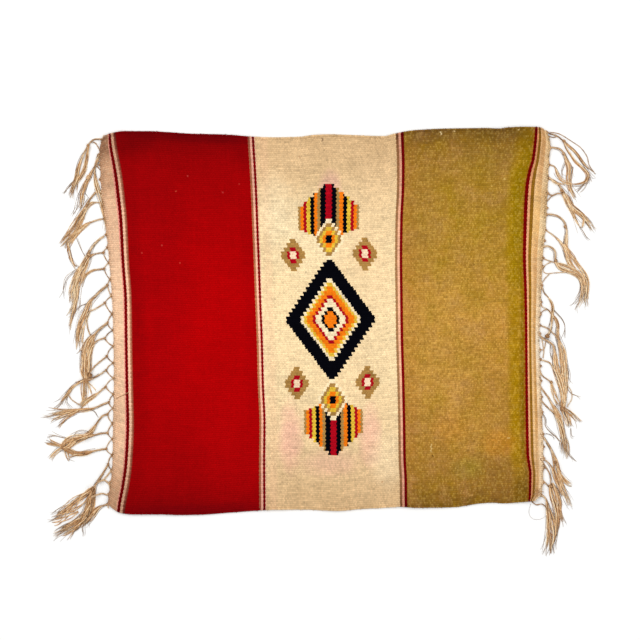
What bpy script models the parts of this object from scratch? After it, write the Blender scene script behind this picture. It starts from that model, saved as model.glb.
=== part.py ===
"""A small hand-woven serape, laid flat: one weft-faced web whose warp ends are knotted into a fringe.

X runs along the warp, Y along the weft, Z up. The origin is under the middle of the whole piece, on the
surface it lies on. Run with: blender --background --python part.py
"""

from collections import namedtuple

import bmesh
import bpy
import numpy as np
from mathutils import Matrix, Vector

MM = 0.001

# Driving dimensions, in millimetres.
WEB_THICKNESS = 2.5
WEB_ROWS = 14  # faces between the two selvages
BAY_COLUMNS = {"left": 1, "band_1": 5, "band_2": 5, "band_3": 5, "right": 1}  # faces between weft lines
PIECE_GAP = 0.3
HEADING_WIDTH = 10.0  # the row of knots outside the web
HEADING_THICKNESS = 4.0
CORNER_LIFT = 2.5  # how far the corners of the web stand off the surface
CORNER_REACH = 60.0  # how far in from the corner that lift dies away

# Weft lines of the web: where each crosses, in millimetres right of the middle, at a share of the way up.
# The two outer ones are the ends of the web, the others are the middles of the four narrow stripe groups.
WeftLines = namedtuple("WeftLines", "up left stripe_1 stripe_2 stripe_3 stripe_4 right")
WEFT_LINES = (
    WeftLines(0.00, -320.5, -304.0, -85.5, 126.5, 311.5, 324.0),
    WeftLines(0.02, -320.5, -302.5, -85.5, 126.0, 311.5, 329.0),
    WeftLines(0.12, -313.0, -293.5, -86.0, 124.0, 310.0, 332.0),
    WeftLines(0.23, -312.5, -290.5, -85.5, 123.5, 308.0, 331.0),
    WeftLines(0.34, -311.5, -291.5, -88.0, 122.5, 308.0, 328.5),
    WeftLines(0.45, -312.0, -293.5, -89.5, 121.0, 307.5, 327.0),
    WeftLines(0.56, -314.5, -294.5, -92.0, 120.0, 305.5, 329.0),
    WeftLines(0.66, -318.5, -298.0, -94.0, 119.5, 304.0, 331.0),
    WeftLines(0.77, -327.0, -301.0, -96.5, 120.0, 305.5, 336.0),
    WeftLines(0.88, -331.0, -307.0, -99.0, 122.0, 310.0, 340.0),
    WeftLines(0.97, -331.5, -315.5, -102.0, 120.5, 320.0, 343.5),
    WeftLines(1.00, -326.5, -317.5, -103.0, 120.0, 321.5, 339.0),
)

# The two selvages: their heights, in millimetres above the middle, at a place along the web.
Selvages = namedtuple("Selvages", "along lower upper")
SELVAGES = (
    Selvages(-330.0, -245.5, 308.5),
    Selvages(-308.0, -256.0, 314.5),
    Selvages(-289.0, -259.0, 317.0),
    Selvages(-218.0, -260.5, 314.5),
    Selvages(-145.0, -257.5, 311.5),
    Selvages(-74.0, -253.0, 307.0),
    Selvages(-10.0, -252.5, 311.0),
    Selvages(17.0, -254.0, 311.5),
    Selvages(53.0, -251.5, 309.5),
    Selvages(106.0, -248.5, 311.5),
    Selvages(142.0, -250.0, 317.5),
    Selvages(196.0, -248.0, 320.5),
    Selvages(250.0, -242.5, 320.5),
    Selvages(296.0, -241.5, 323.0),
    Selvages(328.0, -239.5, 321.5),
    Selvages(343.0, -239.0, 313.0),
)

# Cross-sections of every tassel, at a share of its length: the knot, the neck below it and the loose ends.
TasselSection = namedtuple("TasselSection", "share width height")
TASSEL_SECTIONS = (
    TasselSection(0.00, 0.55, 0.55),
    TasselSection(0.10, 0.90, 1.00),
    TasselSection(0.20, 0.60, 0.60),
    TasselSection(0.45, 0.85, 0.60),
    TasselSection(0.75, 1.00, 0.45),
    TasselSection(0.93, 0.75, 0.30),
    TasselSection(1.00, 0.30, 0.20),
)
TASSEL_THICKNESS = 5.0
TASSEL_STATIONS = 11

# Each tassel: the height at which it leaves its heading, its greatest width and its route, in millimetres.
# A tassel with no height branches off beside another one.
Tassel = namedtuple("Tassel", "leaves_at width route")
LEFT_TASSELS = (
    Tassel(299.0, 8.0, ((-348, 294), (-357, 268), (-367, 236), (-377, 211))),
    Tassel(251.0, 6.0, ((-352, 241), (-358, 224), (-363, 209), (-371, 190))),
    Tassel(208.0, 7.0, ((-351, 203), (-360, 193), (-369, 164), (-382, 148), (-395, 137))),
    Tassel(145.0, 9.0, ((-347, 133), (-356, 108), (-362, 84), (-368, 55), (-375, 30), (-377, 11))),
    Tassel(73.0, 9.0, ((-345, 50), (-356, 22), (-363, 0), (-366, -17))),
    Tassel(20.0, 10.0, ((-343, 8), (-352, -16), (-354, -37), (-356, -88), (-368, -102), (-407, -121))),
    Tassel(None, 7.0, ((-359.9, -66.0), (-376, -71), (-393, -86))),
    Tassel(-125.0, 8.0, ((-350, -141), (-364, -147), (-378, -149), (-395, -153), (-414, -157))),
    Tassel(-163.0, 6.0, ((-343, -165), (-356, -169), (-369, -175), (-379, -181))),
    Tassel(-205.0, 9.0, ((-341, -217), (-348, -233), (-352, -256), (-358, -269), (-370, -277), (-404, -293))),
    Tassel(None, 7.0, ((-354.4, -243), (-366, -245), (-382, -251), (-397, -262), (-407, -269))),
)
RIGHT_TASSELS = (
    Tassel(306.0, 7.0, ((360, 303), (378, 288), (395, 268), (414, 248))),
    Tassel(285.0, 6.0, ((364, 277), (370, 258), (375, 232), (382, 215))),
    Tassel(238.0, 8.0, ((359, 227), (368, 212), (378, 196), (390, 169))),
    Tassel(188.0, 7.0, ((360, 180), (366, 162), (368, 140))),
    Tassel(142.0, 9.0, ((353, 134), (368, 119), (384, 108), (396, 92), (398, 73), (388, 53))),
    Tassel(60.0, 7.0, ((352, 48), (359, 34), (362, 20))),
    Tassel(12.0, 11.0, ((348, 4), (357, -14), (364, -48), (361, -84), (362, -106), (372, -123), (388, -126))),
    Tassel(-101.0, 7.0, ((349, -115), (357, -134), (364, -155), (369, -174))),
    Tassel(-161.0, 8.0, ((350, -173), (354, -193), (363, -209), (370, -223), (372, -248))),
    Tassel(-205.0, 7.0, ((345, -218), (351, -239), (358, -257), (363, -274))),
    Tassel(-231.0, 7.0, ((341, -246), (344, -262), (346, -296), (346, -323))),
)


def column(rows, name):
    """One named column of a table, as an array."""
    return np.array([getattr(row, name) for row in rows])


def weft_line(name, up):
    return float(np.interp(up, column(WEFT_LINES, "up"), column(WEFT_LINES, name)))


def selvage(name, along):
    return float(np.interp(along, column(SELVAGES, "along"), column(SELVAGES, name)))


def web_columns():
    """The places across the web at which faces meet, as (weft line, next weft line, share between them)."""
    lines = WeftLines._fields[1:]
    places = []
    for bay, first, second in zip(BAY_COLUMNS, lines, lines[1:]):
        places += [(first, second, step / BAY_COLUMNS[bay]) for step in range(BAY_COLUMNS[bay])]
    return places + [(lines[-2], lines[-1], 1.0)]


def across_web(place, up):
    """How far right of the middle a column of the web lies, at a share of the way up."""
    first, second, share = place
    return weft_line(first, up) * (1 - share) + weft_line(second, up) * share


def web_point(place, up):
    """A point of the web's underside."""
    middle = across_web(place, 0.5)
    ends = weft_line("left", 0.5), weft_line("right", 0.5)
    reach = (middle - ends[0]) / (ends[1] - ends[0])
    along = column(SELVAGES, "along")
    nominal = along[0] + reach * (along[-1] - along[0])
    lower, upper = selvage("lower", nominal), selvage("upper", nominal)
    x, y = across_web(place, up), lower + up * (upper - lower)
    return Vector((x, y, corner_lift(reach, up)))


def corner_lift(reach, up):
    """The corners of a mat that has been rolled stand a little off the surface."""
    length = weft_line("right", 0.5) - weft_line("left", 0.5)
    height = SELVAGES[0].upper - SELVAGES[0].lower
    from_end = min(reach, 1 - reach) * length
    from_selvage = min(up, 1 - up) * height
    nearness = max(0.0, 1 - (from_end + from_selvage) / CORNER_REACH)
    return CORNER_LIFT * nearness


def new_object(name, mesh, material):
    mesh.materials.append(material)
    obj = bpy.data.objects.new(name, mesh)
    bpy.context.scene.collection.objects.link(obj)
    return obj


def wool_material(name, colour, roughness=0.95):
    material = bpy.data.materials.new(name)
    material.use_nodes = True
    shader = material.node_tree.nodes["Principled BSDF"]
    shader.inputs["Base Color"].default_value = (*colour, 1.0)
    shader.inputs["Roughness"].default_value = roughness
    shader.inputs["Metallic"].default_value = 0.0
    return material


def build_web(material):
    """The web: a grid of faces on the surface, drawn up to the cloth's thickness."""
    bm = bmesh.new()
    places = web_columns()
    shares = np.linspace(0, 1, WEB_ROWS + 1)
    grid = [[bm.verts.new(web_point(place, up) * MM) for place in places] for up in shares]
    for low, high in zip(grid, grid[1:]):
        for i in range(len(places) - 1):
            bm.faces.new((low[i], low[i + 1], high[i + 1], high[i]))
    drawn = bmesh.ops.extrude_face_region(bm, geom=bm.faces[:])
    raised = [item for item in drawn["geom"] if isinstance(item, bmesh.types.BMVert)]
    bmesh.ops.translate(bm, vec=(0, 0, WEB_THICKNESS * MM), verts=raised)
    bmesh.ops.recalc_face_normals(bm, faces=bm.faces[:])
    mesh = bpy.data.meshes.new("web")
    bm.to_mesh(mesh)
    bm.free()
    return new_object("web", mesh, material)


def loft(name, sections, material):
    """A closed solid through a row of sections with the same number of points, all facing along it."""
    bm = bmesh.new()
    rings = [[bm.verts.new(point * MM) for point in section] for section in sections]
    count = len(rings[0])
    for ring, after in zip(rings, rings[1:]):
        for i in range(count):
            j = (i + 1) % count
            bm.faces.new((ring[i], ring[j], after[j], after[i]))
    bm.faces.new(rings[0])
    bm.faces.new(rings[-1])
    bmesh.ops.triangulate(bm, faces=bm.faces[:])
    bmesh.ops.recalc_face_normals(bm, faces=bm.faces[:])
    mesh = bpy.data.meshes.new(name)
    bm.to_mesh(mesh)
    bm.free()
    return new_object(name, mesh, material)


def web_end(side):
    """The points at which the faces of one end of the web meet, from the lower selvage up."""
    place = web_columns()[0 if side == "left" else -1]
    return np.array([web_point(place, row / WEB_ROWS) for row in range(WEB_ROWS + 1)])


def heading_stations(side):
    """The heights at which the heading's faces meet: the web's own, but for a clear end at each corner."""
    rows = web_end(side)[:, 1]
    margin = HEADING_WIDTH / 2
    return np.concatenate([[rows[0] + margin], rows[1:-1], [rows[-1] - margin]])


def heading_edge(side, y, offset):
    """How far right of the middle the heading lies, at a height and at an offset outwards from the web."""
    rows = web_end(side)
    return float(np.interp(y, rows[:, 1], rows[:, 0])) + outwards(side) * offset


def outwards(side):
    return -1.0 if side == "left" else 1.0


def build_heading(side, material):
    """The row of knots: a low strip just outside the end of the web."""
    sections = []
    for y in heading_stations(side):
        inner = heading_edge(side, y, PIECE_GAP)
        crown = heading_edge(side, y, PIECE_GAP + HEADING_WIDTH / 2)
        outer = heading_edge(side, y, PIECE_GAP + HEADING_WIDTH)
        sections.append(
            [
                Vector((inner, y, 0)),
                Vector((outer, y, 0)),
                Vector((outer, y, HEADING_THICKNESS / 2)),
                Vector((crown, y, HEADING_THICKNESS)),
                Vector((inner, y, HEADING_THICKNESS / 2)),
            ]
        )
    return loft("heading_" + side, sections, material)


def smooth_route(points, count):
    """Evenly spaced points along a smooth curve through the given ones."""
    knots = np.array(points, float)
    ends = np.array([2 * knots[0] - knots[1], *knots, 2 * knots[-1] - knots[-2]])
    steps = np.linspace(0, 1, 9)[:-1, None]
    drawn = []
    for before, a, b, after in zip(ends, ends[1:], ends[2:], ends[3:]):
        drawn.append(
            0.5
            * (
                2 * a
                + (b - before) * steps
                + (2 * before - 5 * a + 4 * b - after) * steps**2
                + (3 * a - before - 3 * b + after) * steps**3
            )
        )
    curve = np.vstack([*drawn, knots[-1:]])
    run = np.concatenate([[0], np.cumsum(np.linalg.norm(np.diff(curve, axis=0), axis=1))])
    at = np.linspace(0, run[-1], count)
    return np.stack([np.interp(at, run, curve[:, k]) for k in range(2)], axis=1)


def tassel_profile(name, share):
    return float(np.interp(share, column(TASSEL_SECTIONS, "share"), column(TASSEL_SECTIONS, name)))


def tassel_section(left, right, height):
    """A low rounded section that rests on the surface, between two points of it."""
    return [
        Vector((*left, 0)),
        Vector((*right, 0)),
        Vector((*right, height * 0.5)),
        Vector((*(left * 0.3 + right * 0.7), height)),
        Vector((*(left * 0.7 + right * 0.3), height)),
        Vector((*left, height * 0.5)),
    ]


def build_tassel(name, side, tassel, material):
    """A bundle of warp ends that lies on the surface, from its knot to its thin tips."""
    points = list(tassel.route)
    if tassel.leaves_at is not None:
        start = heading_edge(side, tassel.leaves_at, HEADING_WIDTH + 2 * PIECE_GAP)
        points.insert(0, (start, tassel.leaves_at))
    route = smooth_route(points, TASSEL_STATIONS)
    along = np.gradient(route, axis=0)
    along /= np.linalg.norm(along, axis=1)[:, None]
    sections = []
    for i, (centre, direction) in enumerate(zip(route, along)):
        share = i / (TASSEL_STATIONS - 1)
        half = tassel.width / 2 * tassel_profile("width", share)
        sideways = np.array((direction[1], -direction[0])) * half
        if i == 0 and tassel.leaves_at is not None:
            # The end face lies along the heading.
            tilt = outwards(side) * half
            ys = centre[1] + tilt, centre[1] - tilt
            corners = [np.array((heading_edge(side, y, HEADING_WIDTH + 2 * PIECE_GAP), y)) for y in ys]
        else:
            corners = [centre - sideways, centre + sideways]
        sections.append(tassel_section(*corners, TASSEL_THICKNESS * tassel_profile("height", share)))
    return loft(name, sections, material)


def centre_on_origin(objects):
    """Moves every mesh alike, so that the origin lies under the middle of them all."""
    corners = np.array([vertex.co for obj in objects for vertex in obj.data.vertices])
    middle = (corners.min(axis=0) + corners.max(axis=0)) / 2
    for obj in objects:
        obj.data.transform(Matrix.Translation((-middle[0], -middle[1], 0)))


def main():
    for obj in list(bpy.data.objects):
        bpy.data.objects.remove(obj)
    web_wool = wool_material("woven wool", (0.40, 0.10, 0.05))
    warp_yarn = wool_material("warp yarn", (0.62, 0.42, 0.22))
    pieces = [build_web(web_wool)]
    for side, tassels in (("left", LEFT_TASSELS), ("right", RIGHT_TASSELS)):
        pieces.append(build_heading(side, warp_yarn))
        for number, tassel in enumerate(tassels, start=1):
            pieces.append(build_tassel(f"tassel_{side}_{number:02d}", side, tassel, warp_yarn))
    centre_on_origin(pieces)


main()
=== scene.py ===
import math
from collections import namedtuple
from functools import partialmethod

import bpy
import numpy as np
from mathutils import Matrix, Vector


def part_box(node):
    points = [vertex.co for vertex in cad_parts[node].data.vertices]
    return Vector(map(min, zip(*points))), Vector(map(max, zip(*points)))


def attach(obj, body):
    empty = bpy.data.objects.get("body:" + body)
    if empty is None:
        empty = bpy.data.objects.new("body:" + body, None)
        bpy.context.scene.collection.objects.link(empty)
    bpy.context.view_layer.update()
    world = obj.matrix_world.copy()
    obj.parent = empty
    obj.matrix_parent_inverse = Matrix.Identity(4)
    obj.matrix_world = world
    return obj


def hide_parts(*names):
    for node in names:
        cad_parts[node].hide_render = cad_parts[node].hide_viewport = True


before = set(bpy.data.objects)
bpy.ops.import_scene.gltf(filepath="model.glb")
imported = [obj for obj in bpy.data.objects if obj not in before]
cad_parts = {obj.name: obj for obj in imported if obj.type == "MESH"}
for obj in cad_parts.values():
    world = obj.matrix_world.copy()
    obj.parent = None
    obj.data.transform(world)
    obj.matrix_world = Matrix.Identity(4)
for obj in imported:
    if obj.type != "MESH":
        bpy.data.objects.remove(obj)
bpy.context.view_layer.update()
mm = 0.001
rng = np.random.default_rng(11)
bpy.ops.object.select_all(action="DESELECT")


def table(columns, rows):
    # rows with named columns
    row = namedtuple("Row", columns)
    return [row(*values) for values in rows]


def column(rows, name):
    # one column of a table
    return np.array([getattr(row, name) for row in rows], float)


def smoothThrough(x, xs, ys):
    # a smooth line through the points that never swings past them
    rises = np.diff(ys) / np.diff(xs)
    before, after = rises[:-1], rises[1:]
    even = np.where(before * after > 0, 2 * before * after / (before + after + 1e-12), 0.0)
    slopes = np.concatenate([rises[:1], even, rises[-1:]])
    at = np.clip(np.searchsorted(xs, x) - 1, 0, len(xs) - 2)
    gap = xs[at + 1] - xs[at]
    t = np.clip((x - xs[at]) / gap, 0, 1)
    start = ys[at] * (1 + 2 * t) * (1 - t) ** 2 + ys[at + 1] * t * t * (3 - 2 * t)
    return start + gap * (slopes[at] * t * (1 - t) ** 2 - slopes[at + 1] * t * t * (1 - t))


def smoothRoute(points, spacing):
    # evenly spaced points on a smooth curve through the given ones
    given = np.array(points, float)
    ends = np.array([2 * given[0] - given[1], *given, 2 * given[-1] - given[-2]])
    steps = np.linspace(0, 1, 13)[:-1, None]  # twelve from each point to the next
    drawn = []
    for p, a, b, q in zip(ends, ends[1:], ends[2:], ends[3:]):
        drawn.append(0.5 * (2 * a + (b - p) * steps + (2 * p - 5 * a + 4 * b - q) * steps ** 2
                            + (3 * a - p - 3 * b + q) * steps ** 3))
    curve = np.vstack([*drawn, given[-1:]])
    run = distances(curve)
    count = max(4, int(round(run[-1] / spacing)) + 1)
    at = np.linspace(0, run[-1], count)
    return np.stack([np.interp(at, run, curve[:, k]) for k in range(given.shape[1])], axis=1)


def distances(line):
    # how far along a line each of its points is
    return np.concatenate([[0], np.cumsum(np.linalg.norm(np.diff(line, axis=0), axis=1))])


def sideways(line):
    # unit vectors to the left of a flat line
    along = np.gradient(line[:, :2], axis=0)
    along /= np.linalg.norm(along, axis=1)[:, None] + 1e-9
    return np.stack([-along[:, 1], along[:, 0]], axis=1)


def eased(share):
    share = np.clip(share, 0, 1)
    return share * share * (3 - 2 * share)


def meshPiece(name, points, faces, material, shift):
    # points are in mm from the middle of the serape
    points = points * mm
    points[:, :2] += shift
    mesh = bpy.data.meshes.new(name)
    mesh.from_pydata(points.tolist(), [], faces)
    mesh.materials.append(material)
    mesh.shade_smooth()
    piece = bpy.data.objects.new(name, mesh)
    bpy.context.scene.collection.objects.link(piece)
    return piece


def addUv(piece, name, corners):
    layer = piece.data.uv_layers.new(name=name)
    layer.data.foreach_set("uv", np.asarray(corners, np.float32).ravel())


def renumbered(faces, first):
    return [[first + i for i in face] for face in faces]


def tubeRings(line, radii, sides, plies=0.0, lay=7.0, phase=0.0):
    # a closed tube round a line: its points, and its faces as lists of their numbers
    count = len(line)
    along = np.gradient(line, axis=0)
    along /= np.linalg.norm(along, axis=1)[:, None] + 1e-12
    side = np.zeros_like(line)
    first = np.cross(along[0], (0.0, 0.0, 1.0))
    if np.linalg.norm(first) < 0.1:  # the line starts upright
        first = np.cross(along[0], (1.0, 0.0, 0.0))
    side[0] = first / np.linalg.norm(first)
    for i in range(1, count):
        turned = side[i - 1] - along[i] * np.dot(side[i - 1], along[i])
        side[i] = turned / (np.linalg.norm(turned) + 1e-12)
    up = np.cross(side, along)
    angles = np.arange(sides) * 2 * math.pi / sides
    twist = phase + 2 * math.pi * distances(line)[:, None] / lay
    reach = np.broadcast_to(radii, count)[:, None] * (1 + plies * np.cos(2 * (angles[None, :] - twist)))
    points = (line[:, None, :] + side[:, None, :] * (reach * np.cos(angles))[:, :, None]
              + up[:, None, :] * (reach * np.sin(angles))[:, :, None])
    faces = []
    for i in range(count - 1):
        for j in range(sides):
            k = (j + 1) % sides
            faces.append([i * sides + j, i * sides + k, (i + 1) * sides + k, (i + 1) * sides + j])
    faces.append(list(range(sides))[::-1])
    faces.append([(count - 1) * sides + j for j in range(sides)])
    return points.reshape(-1, 3), faces


class Wire:
    # one socket of a material, with arithmetic that adds the nodes

    def __init__(self, tree, socket):
        self.tree = tree
        self.socket = socket

    def add(self, kind, settings=None, values=None, output=0):
        node = self.tree.nodes.new(kind)
        for name, setting in (settings or {}).items():
            setattr(node, name, setting)
        for name, value in (values or {}).items():
            if isinstance(value, Wire):
                self.tree.links.new(value.socket, node.inputs[name])
            else:
                node.inputs[name].default_value = value
        return Wire(self.tree, node.outputs[output])

    def compute(self, operation, *others):
        return self.add("ShaderNodeMath", {"operation": operation}, dict(enumerate((self, *others))))

    __add__ = __radd__ = partialmethod(compute, "ADD")
    __sub__ = partialmethod(compute, "SUBTRACT")
    __mul__ = __rmul__ = partialmethod(compute, "MULTIPLY")
    __truediv__ = partialmethod(compute, "DIVIDE")
    __pow__ = partialmethod(compute, "POWER")
    __abs__ = partialmethod(compute, "ABSOLUTE")
    __lt__ = partialmethod(compute, "LESS_THAN")
    __gt__ = partialmethod(compute, "GREATER_THAN")
    floor = partialmethod(compute, "FLOOR")
    fract = partialmethod(compute, "FRACT")
    modulo = partialmethod(compute, "MODULO")
    sine = partialmethod(compute, "SINE")
    most = partialmethod(compute, "MAXIMUM")

    def __rsub__(self, other):
        return self.add("ShaderNodeMath", {"operation": "SUBTRACT"}, {0: other, 1: self})

    def within(self, low, high, toLow=0.0, toHigh=1.0):
        # eases from toLow to toHigh as this goes from low to high
        values = {"Value": self, "From Min": low, "From Max": high, "To Min": toLow, "To Max": toHigh}
        return self.add("ShaderNodeMapRange", {"interpolation_type": "SMOOTHSTEP"}, values)

    def place(self, other, third=0.0):
        return self.add("ShaderNodeCombineXYZ", None, {"X": self, "Y": other, "Z": third})

    def part(self, number):
        return self.add("ShaderNodeSeparateXYZ", None, {0: self}, number)

    def noise(self, detail=2.0, roughness=0.5):
        values = {"Vector": self, "Scale": 1.0, "Detail": detail, "Roughness": roughness}
        return self.add("ShaderNodeTexNoise", None, values)

    def ramp(self, stops, blend="LINEAR"):
        # the stops are places with their dyes or numbers, and the first is at 0
        wire = self.add("ShaderNodeValToRGB", None, {"Fac": self})
        ramp = wire.socket.node.color_ramp
        ramp.interpolation = blend
        ramp.elements.remove(ramp.elements[-1])
        for place, value in stops:
            element = ramp.elements.new(place) if place > 0 else ramp.elements[0]
            element.color = dye(value) if isinstance(value, str) else (value, value, value, 1.0)
        return wire

    def mix(self, first, second):
        # this is how much of second shows over first
        return self.add("ShaderNodeMix", {"data_type": "RGBA"}, {0: self, 6: first, 7: second}, 2)

    def tint(self, amount):
        # brightens or darkens a colour by a number
        return self.add("ShaderNodeVectorMath", {"operation": "SCALE"}, {0: self, 3: amount})


def dye(code):
    # a colour from its six hexadecimal digits
    parts = [int(code[i:i + 2], 16) / 255 for i in (0, 2, 4)]
    return (*[p / 12.92 if p <= 0.04045 else ((p + 0.055) / 1.055) ** 2.4 for p in parts], 1.0)


def newMaterial(name, settings):
    material = bpy.data.materials.new(name)
    material.use_nodes = True
    shader = material.node_tree.nodes["Principled BSDF"]
    for socket, value in settings.items():
        shader.inputs[socket].default_value = value
    return material, Wire(material.node_tree, None)


def joinShader(material, colour, height, bump):
    # joins a material's colour and its relief to its shader
    tree = material.node_tree
    shader = tree.nodes["Principled BSDF"]
    relief = colour.add("ShaderNodeBump", None, {**bump, "Height": height})
    tree.links.new(colour.socket, shader.inputs["Base Color"])
    tree.links.new(relief.socket, shader.inputs["Normal"])
    return material


stage = {
    "frameWidth": 0.960,  # what the picture is wide, on the floor, m
    "frameMiddle": (-1.5, 32.2),  # mm
    "lens": 135.0,
    "sensor": 36.0,
    "floorDrop": 0.0002,
    "floorSize": 40.0,
    "floorColour": "F4F4F3",
    "floorRoughness": 0.9,
    "skyStrength": 0.62,
    "lightSize": 2.6,
    "lights": {"key light": (62.0, (-1.3, 1.5, 2.6)), "fill light": (26.0, (1.8, -0.9, 2.4))},
}


def setStage(shift):
    scene = bpy.context.scene
    scene.view_settings.view_transform = "Standard"
    data = bpy.data.cameras.new("camera")
    data.lens = stage["lens"]
    data.sensor_width = stage["sensor"]
    camera = bpy.data.objects.new("camera", data)
    scene.collection.objects.link(camera)
    height = stage["frameWidth"] / 2 / (data.sensor_width / 2 / data.lens)
    camera.location = (*(np.array(stage["frameMiddle"]) * mm + shift), height)
    scene.camera = camera

    bpy.ops.mesh.primitive_plane_add(size=stage["floorSize"], location=(0, 0, -stage["floorDrop"]))
    floor = bpy.context.active_object
    floor.name = "floor"
    look = {"Base Color": dye(stage["floorColour"]), "Roughness": stage["floorRoughness"]}
    floor.data.materials.append(newMaterial("pale floor", look)[0])

    world = bpy.data.worlds.new("studio")
    world.use_nodes = True
    background = world.node_tree.nodes["Background"]
    background.inputs["Color"].default_value = (1.0, 1.0, 1.0, 1.0)
    background.inputs["Strength"].default_value = stage["skyStrength"]
    scene.world = world
    for name, (power, place) in stage["lights"].items():
        data = bpy.data.lights.new(name, "AREA")
        data.energy = power
        data.size = stage["lightSize"]
        light = bpy.data.objects.new(name, data)
        scene.collection.objects.link(light)
        light.location = place
        light.rotation_mode = "QUATERNION"
        light.rotation_quaternion = light.location.to_track_quat("Z", "Y")
    print("stage set")


# Where each weft line crosses, in mm right of the middle, at a share of the way up the web.
weftLines = table("up left stripe1 stripe2 stripe3 stripe4 right", (
    (0.0, -319.5, -304.0, -85.5, 127.0, 311.5, 320.5),
    (0.02, -318.5, -302.6, -85.5, 126.6, 311.5, 330.5),
    (0.07, -314.5, -297.2, -85.8, 126.4, 311.9, 333.0),
    (0.13, -312.3, -292.4, -86.0, 124.7, 307.4, 333.2),
    (0.23, -311.5, -289.6, -85.5, 123.9, 306.4, 331.5),
    (0.34, -310.3, -291.0, -88.0, 122.6, 306.0, 329.0),
    (0.45, -311.0, -292.1, -89.5, 120.8, 305.6, 327.5),
    (0.56, -313.2, -292.9, -92.0, 120.0, 304.2, 330.0),
    (0.66, -317.3, -296.8, -94.0, 119.4, 302.0, 332.3),
    (0.77, -323.5, -299.9, -96.5, 120.2, 303.0, 337.8),
    (0.84, -328.6, -304.1, -98.0, 122.2, 305.4, 339.5),
    (0.88, -330.1, -306.9, -99.1, 122.7, 309.6, 340.6),
    (0.915, -330.8, -310.2, -100.1, 122.7, 315.8, 341.5),
    (0.97, -331.5, -316.0, -102.0, 121.6, 319.8, 343.5),
    (1.0, -326.5, -317.5, -103.0, 121.0, 321.5, 339.0),
))

# How high the two selvages lie, in mm, at a place along the web.
selvages = table("along lower upper", (
    (-330.0, -244.2, 305.6), (-308.0, -256.5, 312.0), (-289.0, -259.3, 315.4), (-250.0, -259.2, 315.3),
    (-218.0, -260.2, 313.6), (-188.0, -259.6, 311.6), (-145.0, -256.4, 310.6), (-74.0, -252.2, 306.1),
    (-27.0, -252.1, 306.7), (-10.0, -253.0, 309.3), (17.0, -254.0, 310.6), (53.0, -251.3, 309.4),
    (98.0, -248.9, 307.7), (113.0, -247.8, 311.4), (142.0, -249.4, 316.7), (196.0, -248.7, 319.4),
    (250.0, -242.1, 319.9), (264.0, -241.7, 319.0), (280.0, -242.8, 321.0), (300.0, -241.4, 321.8),
    (328.0, -239.5, 321.3), (343.0, -239.0, 313.0),
))

# Soft ridges of the laid cloth: middle, direction in degrees, half length, half width and height, mm.
ridges = table("x y turn length width height", (
    (-262, 120, 84, 130, 16, 1.1), (-200, -110, 97, 110, 22, 0.8), (-104, 60, 88, 160, 9, 0.7),
    (-25, 215, 75, 70, 18, 0.9), (62, -150, 104, 80, 20, 0.9), (118, 40, 91, 170, 10, 0.8),
    (205, 170, 80, 95, 24, 1.0), (262, -90, 96, 110, 18, 0.9), (300, 120, 88, 120, 9, 0.8),
))

web = {
    "lines": ("left", "stripe1", "stripe2", "stripe3", "stripe4", "right"),
    "cutMarks": (0.0, 20.0, 226.0, 436.0, 624.0, 646.0),  # where those lines lie in the flat cut, mm
    "ribs": 183,  # warps, one under each rib
    "ribPitch": 3.12,
    "ribRows": 4,  # rows of faces over one rib
    "underRows": 2,
    "columns": 64,
    "thickness": 2.5,
    "topGroove": 0.85,
    "underGroove": 0.45,
    "ribRoundness": 0.7,
    "wander": ((0.16, 31, 0.9), (0.12, 13, -0.37)),  # of the ribs: size, pitch, and change from rib to rib
    "endBulge": 0.4,  # of each rib at the ends
    "cornerLift": 2.5,
    "cornerReach": 60.0,
    "cornerCurve": 1.5,
    "ruffle": 1.3,  # how far the selvages ripple
    "ruffleReach": 34.0,
    "rufflePitch": (21.0, 67.0),
    "ridgeBend": (6, 37),  # how far the ridges bend, and in what length
}

# The turns of weft round the outermost warp of each selvage, mm.
turns = {
    "pitch": 3.2,
    "pitchSpread": 0.18,
    "radius": 1.15,
    "radiusRange": (0.95, 1.18),
    "reach": 1.1,  # past the turn's radius
    "extraReach": (0.1, 0.35),  # middle and spread
    "lean": 0.35,
    "sweep": 0.62,  # of half a turn, up and down
    "flatness": 0.8,
    "yarn": 0.72,
    "yarnRange": (0.85, 1.1),
    "start": 0.9,  # of a rib in from the selvage
    "lowest": 0.582,  # over the underside of the cloth
    "dyedAt": 0.8,  # from the selvage, where they take their colour
    "sides": 6,
    "stations": 7,
}


def weftAt(name, up):
    return smoothThrough(np.asarray(up, float), column(weftLines, "up"), column(weftLines, name))


def selvagesAt(x):
    along = column(selvages, "along")
    return [smoothThrough(x, along, column(selvages, name)) for name in ("lower", "upper")]


def spread(cut, up):
    # places on the floor, in mm, of points of the flat cut: cut is mm along the warp
    cut, up = np.broadcast_arrays(np.asarray(cut, float), np.asarray(up, float))
    marks = np.array(web["cutMarks"])
    bay = np.clip(np.searchsorted(marks, cut, side="right") - 1, 0, len(marks) - 2)
    share = (cut - marks[bay]) / (marks[bay + 1] - marks[bay])
    lines = np.stack([weftAt(name, up) for name in web["lines"]])
    middles = np.array([weftAt(name, 0.5) for name in web["lines"]])
    grid = np.indices(cut.shape)
    x = lines[(bay, *grid)] * (1 - share) + lines[(bay + 1, *grid)] * share
    middle = middles[bay] * (1 - share) + middles[bay + 1] * share
    reach = (middle - middles[0]) / (middles[-1] - middles[0])
    along = column(selvages, "along")
    lower, upper = selvagesAt(along[0] + reach * (along[-1] - along[0]))
    return x, lower + up * (upper - lower), reach


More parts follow.
